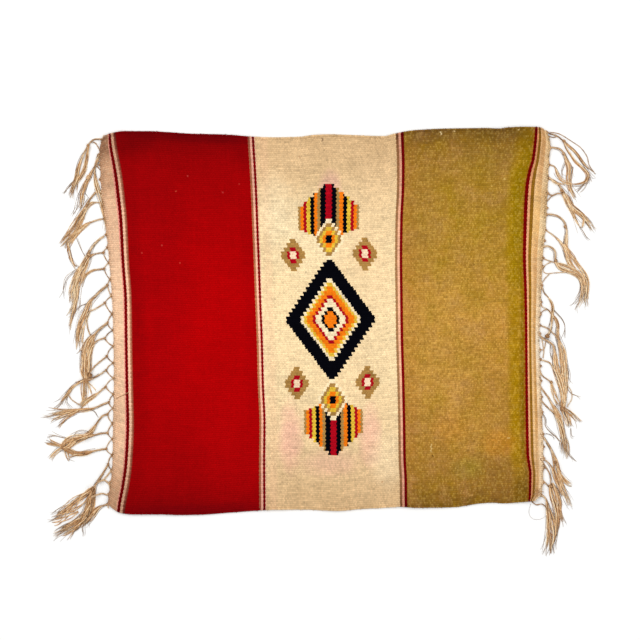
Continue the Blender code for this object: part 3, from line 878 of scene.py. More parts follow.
# What each tassel is made of, in the order in which it is laid.
tassels = {
    "left_01": (
        Run("tress", 12, (2.6, 3, 4, 6, 6, 3), ((-327, 303), (-340, 303), (-348, 296), (-353, 287),
            (-359, 274), (-364, 258), (-367, 243), (-373, 229), (-378, 213))),
        Run("loose", 9, (2, 4, 5, 4), ((-348, 294), (-352, 276), (-354, 260), (-360, 248), (-366, 239),
            (-373, 222))),
        Run("cord", 2, (1.7,), ((-345, 299), (-339, 298), (-334, 291), (-330, 281))),
        Knot(-349, 294, 2.1, 60),
        Run("wisp", 4, (1, 2, 2), ((-369, 243), (-378, 234), (-387, 222))),
    ),
    "left_02": (
        Run("tress", 9, (3, 4, 5, 5, 4, 3), ((-330, 281), (-336, 269), (-342, 258), (-346, 250), (-350, 243),
            (-354, 235), (-358, 222), (-359, 210), (-363, 194))),
        Knot(-349, 246, 2.6, 60),
        Run("tress", 15, (3, 4, 6, 7, 6, 4), ((-334, 281), (-339, 262), (-339, 248), (-337, 237),
            (-333, 222), (-329, 210), (-326, 197), (-323, 184), (-321, 172), (-321, 163))),
        Run("cord", 2, (1.8,), ((-329, 257), (-327, 250), (-328, 239), (-325, 223), (-321, 205),
            (-318, 190))),
        Run("cord", 2, (1.8,), ((-330, 266), (-334, 271), (-336, 264), (-331, 257))),
        Run("wisp", 5, (1, 3, 4), ((-355, 236), (-363, 222), (-366, 205), (-371, 188))),
        Run("wisp", 2, (1, 1, 1), ((-354, 223), (-349, 217), (-347, 213))),
    ),
    "left_03": (
        Run("tress", 20, (3, 4, 9, 12, 14, 13, 10), ((-338, 224), (-346, 214), (-352, 205), (-357, 194),
            (-362, 183), (-367, 172), (-373, 162), (-382, 151), (-392, 140))),
        Run("tress", 7, (2.4, 3, 4, 4), ((-326, 205), (-332, 208), (-341, 208), (-349, 203), (-356, 192),
            (-360, 182))),
        Run("tress", 11, (2.6, 4, 6, 5, 3), ((-326, 184), (-336, 182), (-348, 177), (-360, 168), (-368, 160),
            (-376, 150), (-384, 141))),
        Run("loose", 6, (2, 4, 3), ((-379, 148), (-378, 134), (-373, 120), (-364, 108))),
        Run("wisp", 3, (1, 1, 1), ((-366, 155), (-361, 141), (-355, 126))),
        Knot(-351, 204, 2.2, 70),
    ),
    "left_04": (
        Run("tress", 24, (3, 5, 11, 13, 11, 9, 8), ((-325, 158), (-334, 152), (-342, 143), (-347, 134),
            (-353, 119), (-361, 103), (-365, 86), (-367, 68), (-369, 54), (-375, 42), (-382, 32))),
        Run("tress", 12, (3, 4, 7, 7, 6), ((-347, 137), (-356, 121), (-365, 102), (-372, 84), (-375, 70),
            (-376, 55))),
        Run("loose", 5, (3, 4, 3, 2), ((-368, 62), (-372, 44), (-375, 28), (-377, 12))),
        Run("tress", 7, (2.4, 3, 4, 4), ((-326, 133), (-336, 132), (-345, 128), (-353, 118), (-358, 106))),
        Run("tress", 8, (2.6, 3, 4, 5), ((-325, 109), (-340, 107), (-350, 102), (-356, 94), (-361, 80))),
        Knot(-348, 130, 2.8, 120),
        Run("wisp", 4, (1, 2, 3), ((-366, 108), (-381, 96), (-385, 83), (-388, 66))),
    ),
    "left_05": (
        Run("tress", 22, (3.5, 5, 9, 13, 11, 8, 4), ((-320, 85), (-329, 77), (-339, 67), (-348, 57),
            (-353, 45), (-360, 28), (-364, 11), (-365, -5), (-366, -17))),
        Run("cord", 3, (2.2,), ((-324, 58), (-338, 49), (-348, 44), (-351, 35), (-350, 21), (-346, 9))),
        Run("loose", 4, (1, 3, 2), ((-352, 36), (-356, 18), (-358, 2), (-357, -8), (-367, -22))),
        Run("wisp", 3, (1, 2, 1), ((-349, 57), (-358, 55), (-366, 49), (-370, 40))),
    ),
    "left_06": (
        Run("tied", 34, (3.5, 5, 10, 14, 16, 16, 9), ((-320, 28), (-329, 21), (-338, 12), (-348, -3),
            (-352, -19), (-354, -36), (-353, -59))),
        Run("tied", 9, (2.6, 3, 6, 6), ((-324, 5), (-336, 1), (-343, -9), (-347, -24), (-348, -42),
            (-351, -57))),
        Run("cord", 3, (2.4,), ((-321, -22), (-331, -30), (-341, -39), (-348, -50))),
        Run("tress", 10, (2.8, 4, 6, 5, 4, 3), ((-322, -43), (-334, -51), (-345, -56), (-358, -60),
            (-371, -67), (-380, -77), (-391, -91))),
        Knot(-346.5, -50, 3.8, 70),
        Knot(-352, -59, 4.0, 85),
        Run("loose", 14, (6, 8, 8, 9), ((-354, -59), (-355, -74), (-355, -88), (-358, -98))),
        Run("loose", 3, (1, 3, 3), ((-350, -61), (-343, -67), (-335, -77))),
        Run("loose", 3, (1, 3, 3), ((-350, -62), (-346, -71), (-343, -82))),
        Run("tress", 12, (3, 5, 7, 7, 5), ((-323, -68), (-328, -72), (-339, -81), (-350, -89), (-359, -97),
            (-367, -103))),
        Run("tress", 17, (2.8, 4, 6, 9, 13, 14), ((-318, -91), (-327, -94), (-338, -99), (-352, -102),
            (-366, -103), (-380, -105), (-394, -107), (-411, -108))),
        Run("loose", 6, (4, 5, 4), ((-370, -105), (-386, -111), (-397, -116), (-407, -123))),
        Run("loose", 6, (4, 5, 4), ((-364, -104), (-378, -112), (-388, -121), (-397, -130))),
        Run("wisp", 4, (1, 4, 6), ((-384, -106), (-400, -110), (-419, -113))),
        Run("wisp", 3, (1, 2, 2), ((-347, -100), (-338, -106), (-334, -115))),
    ),
    "left_07": (
        Run("loose", 4, (2, 3, 3), ((-362, -62), (-374, -71), (-382, -82), (-395, -95))),
        Run("cord", 2, (1.8,), ((-374, -71), (-378, -80), (-373, -88), (-362, -95))),
        Run("wisp", 3, (1, 2, 1), ((-381, -80), (-382, -92), (-374, -101))),
        Run("wisp", 5, (1, 4, 5), ((-380, -78), (-392, -92), (-403, -102))),
    ),
    "left_08": (
        Run("tied", 24, (3, 3.5, 4, 9, 13, 13, 7), ((-320, -109), (-328, -112), (-335, -121), (-343, -133),
            (-352, -141), (-366, -145), (-378, -150), (-388, -158))),
        Run("tied", 11, (2.8, 4, 5, 7, 5), ((-320, -137), (-330, -138), (-342, -141), (-353, -144),
            (-366, -149), (-381, -157))),
        Run("wisp", 3, (1, 2, 1), ((-347, -136), (-356, -133), (-365, -134), (-376, -141))),
        Run("loose", 9, (7, 9, 7, 5), ((-370, -148), (-378, -156), (-385, -160), (-392, -158))),
        Knot(-388, -157, 3.0, 20),
        Run("loose", 7, (4, 6, 7), ((-385, -157), (-398, -152), (-411, -146))),
        Run("loose", 5, (3, 4, 3), ((-386, -156), (-402, -154), (-415, -153))),
        Run("loose", 7, (4, 6, 3), ((-386, -158), (-397, -165), (-409, -178))),
        Run("loose", 5, (3, 5, 2), ((-384, -159), (-381, -170), (-377, -182))),
        Run("wisp", 5, (1, 3, 5), ((-374, -146), (-390, -143), (-407, -138))),
    ),
    "left_09": (
        Run("tied", 16, (2.8, 4, 6, 9, 9, 8, 5), ((-322, -161), (-330, -162), (-344, -165), (-356, -168),
            (-369, -168), (-380, -163), (-388, -158))),
        Run("loose", 4, (2, 3, 2), ((-357, -169), (-369, -171), (-379, -176))),
    ),
    "left_10": (
        Run("tress", 32, (3, 3, 5, 10, 15, 17, 14, 10, 5), ((-319, -184), (-326, -196), (-333, -207),
            (-338, -215), (-341, -224), (-344, -236), (-347, -248), (-351, -259), (-358, -267), (-368, -273),
            (-380, -279), (-393, -287), (-404, -294))),
        Run("loose", 14, (4, 9, 12, 7), ((-341, -220), (-347, -236), (-350, -252), (-353, -266),
            (-354, -279))),
        Run("loose", 5, (3, 5, 3), ((-346, -244), (-358, -266), (-371, -284), (-381, -301))),
        Run("loose", 8, (3, 9, 6), ((-347, -250), (-361, -265), (-378, -275), (-394, -281))),
        Run("loose", 4, (3, 6, 4), ((-352, -262), (-368, -282), (-384, -291), (-395, -291))),
        Run("cord", 3, (2.4,), ((-314, -193), (-325, -206), (-334, -210))),
        Run("cord", 3, (2.6,), ((-335, -211), (-325, -208), (-318, -214), (-316, -223), (-319, -230),
            (-328, -228), (-336, -230), (-344, -233))),
        Run("tress", 12, (3, 5, 7, 9), ((-317, -244), (-327, -246), (-336, -252), (-343, -261), (-351, -269),
            (-360, -275))),
        Knot(-342, -221, 2.8, 60),
        Run("wisp", 5, (2, 4, 6), ((-352, -268), (-357, -280), (-354, -292))),
        Run("wisp", 3, (1, 2, 2), ((-358, -274), (-368, -284), (-384, -285))),
    ),
    "left_11": (
        Run("loose", 9, (3, 8, 12, 11, 12, 9), ((-341, -218), (-350, -225), (-360, -233), (-373, -243),
            (-385, -252), (-394, -258), (-401, -264))),
        Run("loose", 5, (2, 5, 6), ((-343, -226), (-354, -240), (-366, -250), (-380, -256), (-396, -257))),
        Run("loose", 6, (2, 5, 4), ((-345, -224), (-362, -236), (-378, -250), (-392, -261), (-407, -270))),
        Run("loose", 6, (3, 6, 6, 4), ((-364, -255), (-380, -264), (-394, -269), (-409, -272))),
        Run("wisp", 5, (2, 6, 8), ((-360, -232), (-376, -243), (-391, -252), (-405, -258))),
    ),
    "right_01": (
        Run("tress", 9, (2.4, 3, 3.2, 3.4, 4.0, 3.6, 2.4), ((342, 312), (354, 308), (365, 299), (377, 288),
            (387, 276), (395, 266), (404, 257), (413, 248))),
        Run("loose", 7, (1.5, 2, 2.6, 3.4, 5, 5, 4.5, 3), ((364, 300), (368, 289), (375, 279), (382, 269),
            (391, 261), (399, 251), (398, 241), (389, 236), (378, 235), (367, 237), (357, 238))),
        Run("cord", 2, (1.3,), ((343, 314), (358, 311), (376, 300), (390, 290), (399, 277), (402, 265),
            (411, 251))),
        Run("cord", 2, (1.5,), ((342, 308), (348, 306), (355, 308))),
        Knot(364, 300, 2.3, -40),
        Run("wisp", 7, (3, 6, 7), ((399, 248), (395, 235), (386, 223))),
        Run("wisp", 5, (2, 5, 6), ((396, 262), (403, 250), (410, 242))),
    ),
    "right_02": (
        Run("tress", 11, (2.8, 3, 5, 6, 5, 4, 3), ((342, 291), (353, 290), (361, 286), (367, 275),
            (372, 260), (371, 247), (373, 232), (379, 218), (384, 208))),
        Run("tied", 6, (2.2, 2.6, 4, 4, 4), ((342, 265), (350, 262), (355, 252), (360, 244), (367, 239),
            (374, 237))),
        Knot(364, 281, 2.2, -60),
        Run("wisp", 3, (1, 2, 1), ((366, 270), (361, 255), (364, 245))),
        Run("wisp", 3, (1, 2, 1), ((378, 262), (376, 252), (380, 245))),
    ),
    "right_03": (
        Run("tress", 18, (3, 4, 7, 9, 8, 6, 5, 2.5), ((340, 244), (348, 242), (356, 235), (362, 226),
            (368, 216), (374, 203), (383, 195), (393, 187), (401, 178), (410, 164))),
        Run("loose", 7, (3, 4, 4, 3), ((362, 222), (369, 209), (376, 195), (383, 180), (391, 167))),
        Run("loose", 3, (1, 3, 2), ((395, 186), (393, 176), (390, 168))),
        Run("loose", 4, (2, 3, 3), ((342, 246), (355, 237), (369, 235))),
        Run("cord", 3, (2.2,), ((339, 222), (347, 219), (355, 222), (363, 221))),
        Run("cord", 2, (1.7,), ((339, 210), (345, 217), (353, 222))),
        Knot(361, 226, 2.6, -50),
        Run("wisp", 4, (1, 2, 1), ((388, 172), (394, 161), (400, 150))),
    ),
    "right_04": (
        Run("tress", 19, (2.8, 3, 4, 5, 7, 8, 9, 10, 9), ((338, 191), (348, 190), (357, 187), (365, 179),
            (368, 169), (368, 156), (367, 143), (368, 131), (373, 117), (383, 104), (392, 94), (395, 80),
            (393, 68), (387, 54))),
        Run("tress", 7, (2, 2.4, 4, 4), ((337, 167), (348, 159), (358, 149), (364, 139), (369, 127),
            (376, 113))),
        Knot(366, 172, 2.1, -80),
    ),
    "right_05": (
        Run("tress", 16, (3.2, 4, 4, 6, 7, 8, 9, 9), ((332, 143), (343, 142), (351, 135), (352, 120),
            (358, 110), (371, 105), (385, 99), (392, 89), (393, 76), (389, 62), (382, 50))),
        Run("loose", 12, (3, 6, 7, 7, 7, 5), ((365, 146), (372, 134), (383, 118), (394, 103), (399, 90),
            (398, 74), (397, 61), (400, 49))),
        Run("tied", 7, (2, 3, 4, 4), ((331, 125), (345, 120), (361, 115), (378, 108), (391, 98), (396, 84))),
        Run("cord", 2, (1.5,), ((347, 120), (337, 115), (333, 107), (338, 102), (353, 103), (371, 104))),
        Run("cord", 2, (1.5,), ((330, 85), (335, 93), (342, 101))),
        Knot(352, 121, 2.3, -80),
        Run("wisp", 5, (2, 6, 6), ((390, 70), (383, 58), (376, 50))),
    ),
    "right_06": (
        Run("tied", 9, (2.4, 3, 3.5, 3.5, 5, 4.5, 3), ((331, 84), (334, 74), (339, 68), (345, 60), (348, 50),
            (347, 38), (346, 28), (344, 17), (339, 7))),
        Run("tied", 6, (2, 2.6, 3, 3), ((330, 58), (332, 52), (341, 47), (347, 39), (352, 33), (355, 25),
            (355, 12), (358, -2))),
        Run("wisp", 6, (2, 4, 5), ((346, 22), (342, 12), (336, 2))),
        Knot(339, 8, 2.9, -60),
        Run("wisp", 3, (1, 1, 1), ((348, 50), (355, 42), (362, 34), (366, 25), (366, 15), (363, 2))),
        Run("cord", 3, (2.2,), ((329, 24), (341, 19), (347, 13), (353, 7), (358, -3))),
        Run("cord", 2, (1.6,), ((329, 40), (333, 46), (339, 48))),
    ),
    "right_07": (
        Run("tied", 26, (2.5, 4, 9, 12, 12, 12, 10, 7.5, 5), ((348, 38), (354, 25), (354, 12), (357, -1),
            (361, -13), (363, -27), (364, -41), (364, -56), (365, -70), (364, -83), (362, -102))),
        Run("tied", 18, (2.8, 3, 5, 8, 11, 11, 8, 5), ((325, 13), (332, 5), (341, 0), (348, -6), (350, -17),
            (351, -28), (353, -39), (356, -49), (360, -61), (363, -74), (364, -88), (362, -102))),
        Run("tied", 11, (2.4, 3, 6, 8, 7, 6), ((326, -27), (335, -29), (343, -32), (348, -39), (353, -49),
            (358, -62), (362, -76), (363, -92))),
        Run("cord", 3, (2.2,), ((326, -36), (331, -50), (338, -56), (346, -61))),
        Run("loose", 5, (1.5, 3, 3), ((345, -60), (347, -76), (352, -91), (358, -100))),
        Run("loose", 5, (1.5, 3, 3), ((345, -60), (352, -78), (360, -97))),
        Run("cord", 2, (1.6,), ((326, -11), (334, -12), (337, -1))),
        Run("cord", 2, (1.6,), ((330, 8), (334, -12), (333, -25))),
        Run("wisp", 3, (1, 1, 1), ((345, -5), (344, -16), (346, -28))),
        Knot(362, -101, 4.2, -85),
        Run("loose", 15, (7, 10, 9, 6), ((362, -99), (367, -110), (371, -120), (373, -130))),
        Run("loose", 7, (3, 6, 7, 4), ((363, -99), (374, -107), (381, -114), (390, -125))),
        Run("wisp", 3, (1, 1, 2), ((367, -66), (375, -78), (389, -82))),
        Run("cord", 2, (1.4,), ((368, -64), (375, -74), (376, -86), (369, -98))),
        Run("wisp", 4, (1, 3, 3), ((368, -30), (372, -45), (373, -62))),
        Knot(345, -61, 2.2, -60),
    ),
    "right_08": (
        Run("tress", 17, (2.6, 3, 5, 8, 9, 8, 9, 7), ((326, -63), (334, -75), (340, -83), (345, -92),
            (351, -103), (357, -115), (360, -128), (363, -141), (367, -153), (368, -166), (366, -178))),
        Run("tress", 9, (2.4, 3, 5, 7, 6), ((327, -84), (334, -93), (342, -101), (351, -109), (356, -118),
            (361, -131), (364, -145), (364, -160), (361, -173))),
        Run("wisp", 5, (1, 3, 3), ((331, -106), (337, -117), (337, -126), (345, -136), (353, -144),
            (359, -153), (361, -167))),
        Run("wisp", 3, (1, 2, 3), ((337, -138), (345, -140), (353, -145))),
        Run("wisp", 3, (1, 2, 2), ((374, -130), (376, -143), (381, -146))),
        Run("wisp", 4, (2, 2, 1), ((368, -163), (373, -171), (382, -181))),
    ),
    "right_09": (
        Run("tress", 18, (2.8, 3, 5, 8, 10, 9, 8, 6), ((329, -138), (339, -152), (346, -164), (351, -178),
            (354, -193), (357, -208), (361, -221), (368, -235), (374, -251))),
        Run("tress", 11, (2.4, 4, 7, 7, 6), ((329, -174), (340, -181), (348, -193), (353, -208), (360, -223),
            (365, -234))),
        Run("loose", 8, (3, 4, 6, 4), ((353, -186), (360, -200), (367, -210), (373, -215), (379, -216))),
        Knot(351, -181, 2.5, -75),
        Run("wisp", 4, (1, 3, 3), ((352, -215), (357, -232), (362, -246))),
    ),
    "right_10": (
        Run("cord", 3, (2.2,), ((329, -176), (337, -188), (343, -199), (345, -214))),
        Run("cord", 3, (2.4,), ((337, -190), (333, -188), (330, -193), (331, -205), (339, -215),
            (345, -221))),
        Knot(345, -217, 2.6, -75),
        Run("loose", 16, (4, 8, 9, 9, 6), ((344, -214), (346, -230), (351, -245), (354, -260), (353, -275),
            (351, -294))),
        Run("loose", 10, (2, 4, 6, 6, 5), ((347, -212), (354, -229), (358, -243), (359, -257), (365, -275))),
        Run("wisp", 4, (1, 3, 2), ((349, -214), (357, -229), (362, -245))),
    ),
    "right_11": (
        Run("tress", 20, (3, 3, 6, 9, 12, 12, 8, 5, 3), ((326, -232), (333, -232), (338, -238), (341, -250),
            (344, -265), (347, -280), (347, -295), (345, -308), (346, -323))),
        Run("loose", 8, (2, 4, 5, 3), ((338, -240), (340, -258), (341, -275), (340, -292), (337, -314))),
        Run("cord", 2, (1.8,), ((316, -240), (323, -245), (332, -244), (340, -252))),
        Run("wisp", 1, (1, 1, 1), ((316, -244), (313, -256), (317, -265), (329, -268), (339, -267))),
        Run("wisp", 5, (2, 5, 4), ((343, -290), (340, -305), (336, -320))),
    ),
}


class Skein:
    # gathers closed tubes of yarn and makes them one mesh

    def __init__(self):
        self.points = []
        self.faces = []
        self.places = []  # round and along each yarn
        self.baked = []  # each yarn in a strip of its own
        self.tones = []
        self.wear = []
        self.count = 0

    def add(self, line, radii, tone, worn=0.0, lay=None, sides=None):
        sides = sides or fringe["sides"]
        phase = rng.uniform(0, math.pi)
        rings, faces = tubeRings(line, radii, sides, fringe["plies"], lay or fringe["lay"], phase)
        self.faces.extend(renumbered(faces, self.count))
        self.count += len(rings)
        self.addPlaces(distances(line), sides, len(self.points))
        self.points.append(rings)
        self.tones.append(np.repeat(np.broadcast_to(tone, len(line)), sides))
        self.wear.append(np.repeat(np.broadcast_to(worn, len(line)), sides))

    def addPlaces(self, run, sides, strip):
        start = rng.uniform(0, 100)
        along = (run + start) * mm
        up = 0.02 + 0.96 * run / run[-1]
        for low, high, bottom, top in zip(along, along[1:], up, up[1:]):
            for j in range(sides):
                left, right = j / sides, (j + 1) / sides
                self.places.extend([(left, low), (right, low), (right, high), (left, high)])
                near, far = strip + 0.04 + left * 0.92, strip + 0.04 + right * 0.92
                self.baked.extend([(near, bottom), (far, bottom), (far, top), (near, top)])
        self.places.extend([(0.5, start * mm)] * (2 * sides))
        for middle in (0.009, 0.991):  # the two closed ends
            for j in range(sides):
                angle = 2 * math.pi * j / sides
                self.baked.append((strip + 0.5 + 0.4 * math.cos(angle), middle + 0.007 * math.sin(angle)))

    def makePiece(self, name, material, shift):
        piece = meshPiece(name, np.vstack(self.points), self.faces, material, shift)
        addUv(piece, "yarn", self.places)
        addUv(piece, "OFBake", np.array(self.baked) / (len(self.points), 1.0))
        for attribute, values in (("tone", self.tones), ("worn", self.wear)):
            layer = piece.data.attributes.new(attribute, "FLOAT", "POINT")
            layer.data.foreach_set("value", np.concatenate(values).astype(np.float32))
        return piece


class Pile:
    # remembers how high what already lies on the floor reaches

    def __init__(self):
        self.half = np.array(fringe["half"])
        self.heights = np.zeros((2 * self.half / fringe["cell"]).astype(int))

    def cells(self, line, radius):
        reach = int(math.ceil(radius / fringe["cell"]))
        steps = np.array([(i, j) for i in range(-reach, reach + 1) for j in range(-reach, reach + 1)
                          if math.hypot(i, j) * fringe["cell"] <= radius + 0.1])
        middle = np.round((line[:, :2] + self.half) / fringe["cell"]).astype(int)
        found = np.clip(middle[:, None, :] + steps[None, :, :], 0, np.array(self.heights.shape) - 1)
        return found[..., 0], found[..., 1]

    def rest(self, line, radius):
        # heights at which a yarn's middle line lies on what is there
        need = self.heights[self.cells(line, radius * fringe["touch"])].max(axis=1) + radius
        run = distances(line[:, :2])
        bridged = (need[None, :] - fringe["steepest"] * np.abs(run[:, None] - run[None, :])).max(axis=1)
        evened = np.convolve(np.pad(bridged, 2, mode="edge"), np.full(5, 0.2), mode="valid")
        return np.maximum(evened, bridged - fringe["sag"] * radius)

    def cover(self, line, heights, radius):
        fine = np.linspace(0, len(line) - 1, len(line) * 4)
        dense = np.stack([np.interp(fine, np.arange(len(line)), line[:, k]) for k in range(2)], axis=1)
        tops = np.interp(fine, np.arange(len(line)), heights + (fringe["nest"] * 2 - 1) * radius)
        np.maximum.at(self.heights, self.cells(dense, radius * fringe["touch"]), tops[:, None])


def widthsAlong(widths, share):
    if len(widths) == 1:
        return np.full(len(share), float(widths[0]))
    return smoothThrough(share, np.linspace(0, 1, len(widths)), np.array(widths, float))


cords = {
    "step": 2.0,
    "lay": 17.0,
    "layRange": (0.8, 1.25),
    "yarn": (0.62, 0.5),  # radius as a share of the cord's, for up to three yarns and for more
    "swell": 0.15,
    "toneSpread": 0.9,
    "worn": 0.55,
}


def layCord(skein, pile, run, tone):
    # yarns twisted round each other
    line = smoothRoute(run.route, cords["step"])
    along = distances(line)
    radius = run.widths[0] / 2
    heights = pile.rest(line, radius)
    pile.cover(line, heights, radius)
    yarn = radius * cords["yarn"][run.yarns > 3]
    side = sideways(line)
    turn = along * 2 * math.pi / (cords["lay"] * rng.uniform(*cords["layRange"])) + rng.uniform(0, 6)
    for k in range(run.yarns):
        angle = turn + 2 * math.pi * k / run.yarns
        swell = (radius - yarn) * (1 + cords["swell"] * np.sin(along / 9 + k))
        strand = np.column_stack([line + side * (swell * np.cos(angle))[:, None],
                                  heights + swell * np.sin(angle)])
        skein.add(strand, yarn, tone + rng.normal(0, cords["toneSpread"]), cords["worn"])


# Yarns that lie side by side. Shares are of the run's length.
loose = {
    "ends": (0.84, 1.0),
    "shortEnds": (0.62, 0.84),
    "endLate": 0.8,  # of the yarns
    "girth": (0.7, 1.15),
    "splay": 2.6,
    "splayFrom": 0.72,
    "splayGrowth": 12,
    "wander": 0.75,
    "wanderPitch": (6, 24),
    "drift": 0.3,
    "driftPitch": (16, 45),
    "opens": (0.18, 0.42),  # where along it a tress opens
    "lay": 19,  # of its cord
    "tip": 0.14,  # radius of a yarn at its worn tip, mm
    "tipFrom": (0.08, 0.3),  # how long the tip is
    "tone": (0.1, 0.95),  # middle and spread
    "cordTone": -1.0,
    "rightTone": 0.45,  # the fringe on the right is paler
    "streak": 1.15,  # how far the tone changes across a run
    "streakPitch": 3.7,
    "depthShade": 0.7,  # painted shade: how much darker the lowest yarns are, and how much lighter the top ones
    "cordWorn": 0.45,
    "tipWorn": 0.6,
    "greyYarns": (0.2, 0.12),  # how many, and how much greyer
}


def wanderAlong(along, size):
    waves = [rng.normal(0, size) * np.sin(along / rng.uniform(*loose["wanderPitch"]) + rng.uniform(0, 6))
             for _ in range(2)]
    return waves[0] + waves[1]


def layLoose(skein, pile, run, temper):
    # a tress starts as a cord, and a tied one ends in a knot
    spine = smoothRoute(run.route, fringe["step"])
    total = distances(spine)[-1]
    cord = run.widths[0] / 2
    tied = run.kind == "tied"
    lanes = (np.arange(run.yarns) + 0.5) / run.yarns * 2 - 1
    rng.shuffle(lanes)
    streakStart = rng.uniform(0, 6)
    wander = loose["wander"] * temper.wander
    low, high = loose["opens"]
    grey, greyer = loose["greyYarns"]
    for k, lane in enumerate(lanes):
        ends = rng.uniform(*loose["ends" if rng.uniform() < loose["endLate"] else "shortEnds"])
        line = spine[: len(spine) if tied else max(5, int(len(spine) * ends))].copy()
        along = distances(line)
        share = along / total
        width = widthsAlong(run.widths, share) / 2
        yarn = fringe["yarn"] * rng.uniform(*loose["girth"])
        splay = 0.0
        if not tied:
            late = np.clip(share - loose["splayFrom"], 0, 1)
            splay = rng.normal(0, loose["splay"]) * late ** 2 * loose["splayGrowth"]
        drift = lane + loose["drift"] * np.sin(along / rng.uniform(*loose["driftPitch"]) + rng.uniform(0, 6))
        flat = drift * width * 0.9 + wanderAlong(along, wander) * np.clip(share * 4, 0.1, 1) + splay
        opened = np.ones(len(line)) if run.kind == "loose" else eased((share - low) / (high - low))
        angle = 2 * math.pi * (k / run.yarns + along / loose["lay"])
        orbit = max(cord - yarn, 0.2) * (0.55 + 0.45 * (k % 3) / 2)
        line += sideways(line) * (opened * flat + (1 - opened) * orbit * np.cos(angle))[:, None]
        whole = np.ones(len(line))  # 0 at the worn tip
        if not tied:
            whole = np.clip((1 - along / along[-1]) / rng.uniform(*loose["tipFrom"]), 0, 1)
        radii = loose["tip"] + (yarn - loose["tip"]) * whole ** 0.7
        heights = pile.rest(line, yarn) * opened + (1 - opened) * (cord + orbit * np.sin(angle))
        heights = np.maximum(heights, yarn)
        pile.cover(line, heights, yarn)
        streak = np.sin(flat * 2 * math.pi / loose["streakPitch"] + streakStart) * opened
        # painted shade on the yarns laid first, which lie lowest, and painted light on those laid last, on
        # top
        deep = (2 * k + 1) / run.yarns - 1
        tone = temper.tone + rng.normal(*loose["tone"]) + loose["cordTone"] * (1 - opened)
        tone = tone + (loose["rightTone"] if line[0, 0] > 0 else 0.0)
        tone = tone + loose["streak"] * streak + loose["depthShade"] * deep
        worn = loose["cordWorn"] * (1 - opened) + loose["tipWorn"] * (1 - whole)
        worn = worn + greyer * (rng.uniform() < grey)
        skein.add(np.column_stack([line, heights]), radii, tone, np.clip(worn, 0, 1))
    if run.yarns >= 4:
        layHairs(skein, pile, run, run.yarns // 3 + 1)


hairs = {
    "radius": 0.19,
    "girth": (0.8, 1.25),
    "sides": 4,
    "step": 4.0,
    "longer": 0.35,  # of a route's last leg: how far they reach past it
    "from": (0.0, 0.45),
    "to": (0.85, 1.0),
    "stray": 1.35,
    "splay": 1.4,  # times that of the yarns
    "splayFrom": 0.5,
    "splayGrowth": 6,
    "wander": 0.9,  # times that of the yarns
    "tone": (-1.8, 0.7),
    "worn": 0.70,
}


def layHairs(skein, pile, run, count):
    # worn fibres that stray from a run
    route = np.array(run.route, float)
    if run.kind != "tied":
        route = np.vstack([route, route[-1] + (route[-1] - route[-2]) * hairs["longer"]])
    spine = smoothRoute(route, hairs["step"])
    total = distances(spine)[-1]
    for _ in range(count):
        first = 0.0 if run.kind == "wisp" else rng.uniform(*hairs["from"])
        last = rng.uniform(*hairs["to"])
        low = int(first * len(spine))
        line = spine[low: max(low + 5, int(last * len(spine)))].copy()
        if len(line) < 4:
            continue
        along = distances(line)
        share = np.clip(along / total + first, 0, 1)
        width = widthsAlong(run.widths, share) / 2
        late = np.clip(share - hairs["splayFrom"], 0, 1)
        splay = rng.normal(0, loose["splay"] * hairs["splay"]) * late ** 2 * hairs["splayGrowth"]
        stray = rng.uniform(-hairs["stray"], hairs["stray"]) * width
        stray = stray + wanderAlong(along, loose["wander"] * hairs["wander"]) + splay
        line += sideways(line) * stray[:, None]
        hair = hairs["radius"] * rng.uniform(*hairs["girth"])
        radii = hair * np.clip((1 - along / along[-1]) * 4 + 0.35, 0, 1)
        strand = np.column_stack([line, pile.rest(line, hair)])
        skein.add(strand, radii, rng.normal(*hairs["tone"]), hairs["worn"], sides=hairs["sides"])


knots = {
    "yarn": 0.36,  # of the knot's size
    "thickest": 1.0,
    "wraps": (2.25, 3.25),  # in a small knot and in a large one
    "large": 2.6,
    "spacing": 0.8,  # of the yarn, between two wraps
    "flatness": 0.8,
    "highest": 2.2,
    "sunk": 0.35,  # how much of what lies below lifts the knot
    "wrapTone": (-1.9, 0.6),
    "bendTone": (-1.1, 0.8),
    "bendLength": 1.9,
    "worn": 0.3,
    "lay": 5.0,
}


def tieKnot(skein, pile, knot):
    # turns of yarn drawn tight round a cord, crossed by one more
    probe = 0.6
    below = float(pile.rest(np.array([[knot.x, knot.y]], float), probe)[0]) - probe
    base = max(0.0, below) * knots["sunk"]
    turn = math.radians(knot.turn)
    along = np.array([math.cos(turn), math.sin(turn), 0.0])
    across = np.array([-math.sin(turn), math.cos(turn), 0.0])
    up = np.array([0.0, 0.0, 1.0])
    yarn = min(knot.size * knots["yarn"], knots["thickest"])
    wraps = knots["wraps"][knot.size >= knots["large"]]
    ring = knot.size - yarn * 0.6
    rise = min(ring * knots["flatness"], knots["highest"])
    middle = np.array([knot.x, knot.y, base + rise + yarn])
    t = np.linspace(0, 1, int(wraps * 12))[:, None]
    angle = 2 * math.pi * wraps * t
    wrap = (middle + along * (t - 0.5) * yarn * 2 * wraps * knots["spacing"] + across * ring * np.cos(angle)
            + up * rise * np.sin(angle))
    skein.add(wrap, yarn, rng.normal(*knots["wrapTone"]), knots["worn"], knots["lay"])
    t = np.linspace(0, 1, 14)[:, None]
    angle = math.pi * (0.1 + 0.8 * t)
    bend = (middle + along * (t - 0.5) * knot.size * knots["bendLength"] + across * ring * 0.9 * (t - 0.5)
            + up * (rise + yarn * 0.5) * np.sin(angle))
    skein.add(bend, yarn * 0.9, rng.normal(*knots["bendTone"]), knots["worn"], knots["lay"])


def webTop(line):
    # the height of the web's upper face at places on the floor
    x, y = line.T
    first, last = selvages[0].along, selvages[-1].along
    lower, upper = selvagesAt(x)
    up = np.clip((y - lower) / (upper - lower), 0, 1)
    return web["thickness"] + lift(x, y, np.clip((x - first) / (last - first), 0, 1), up)


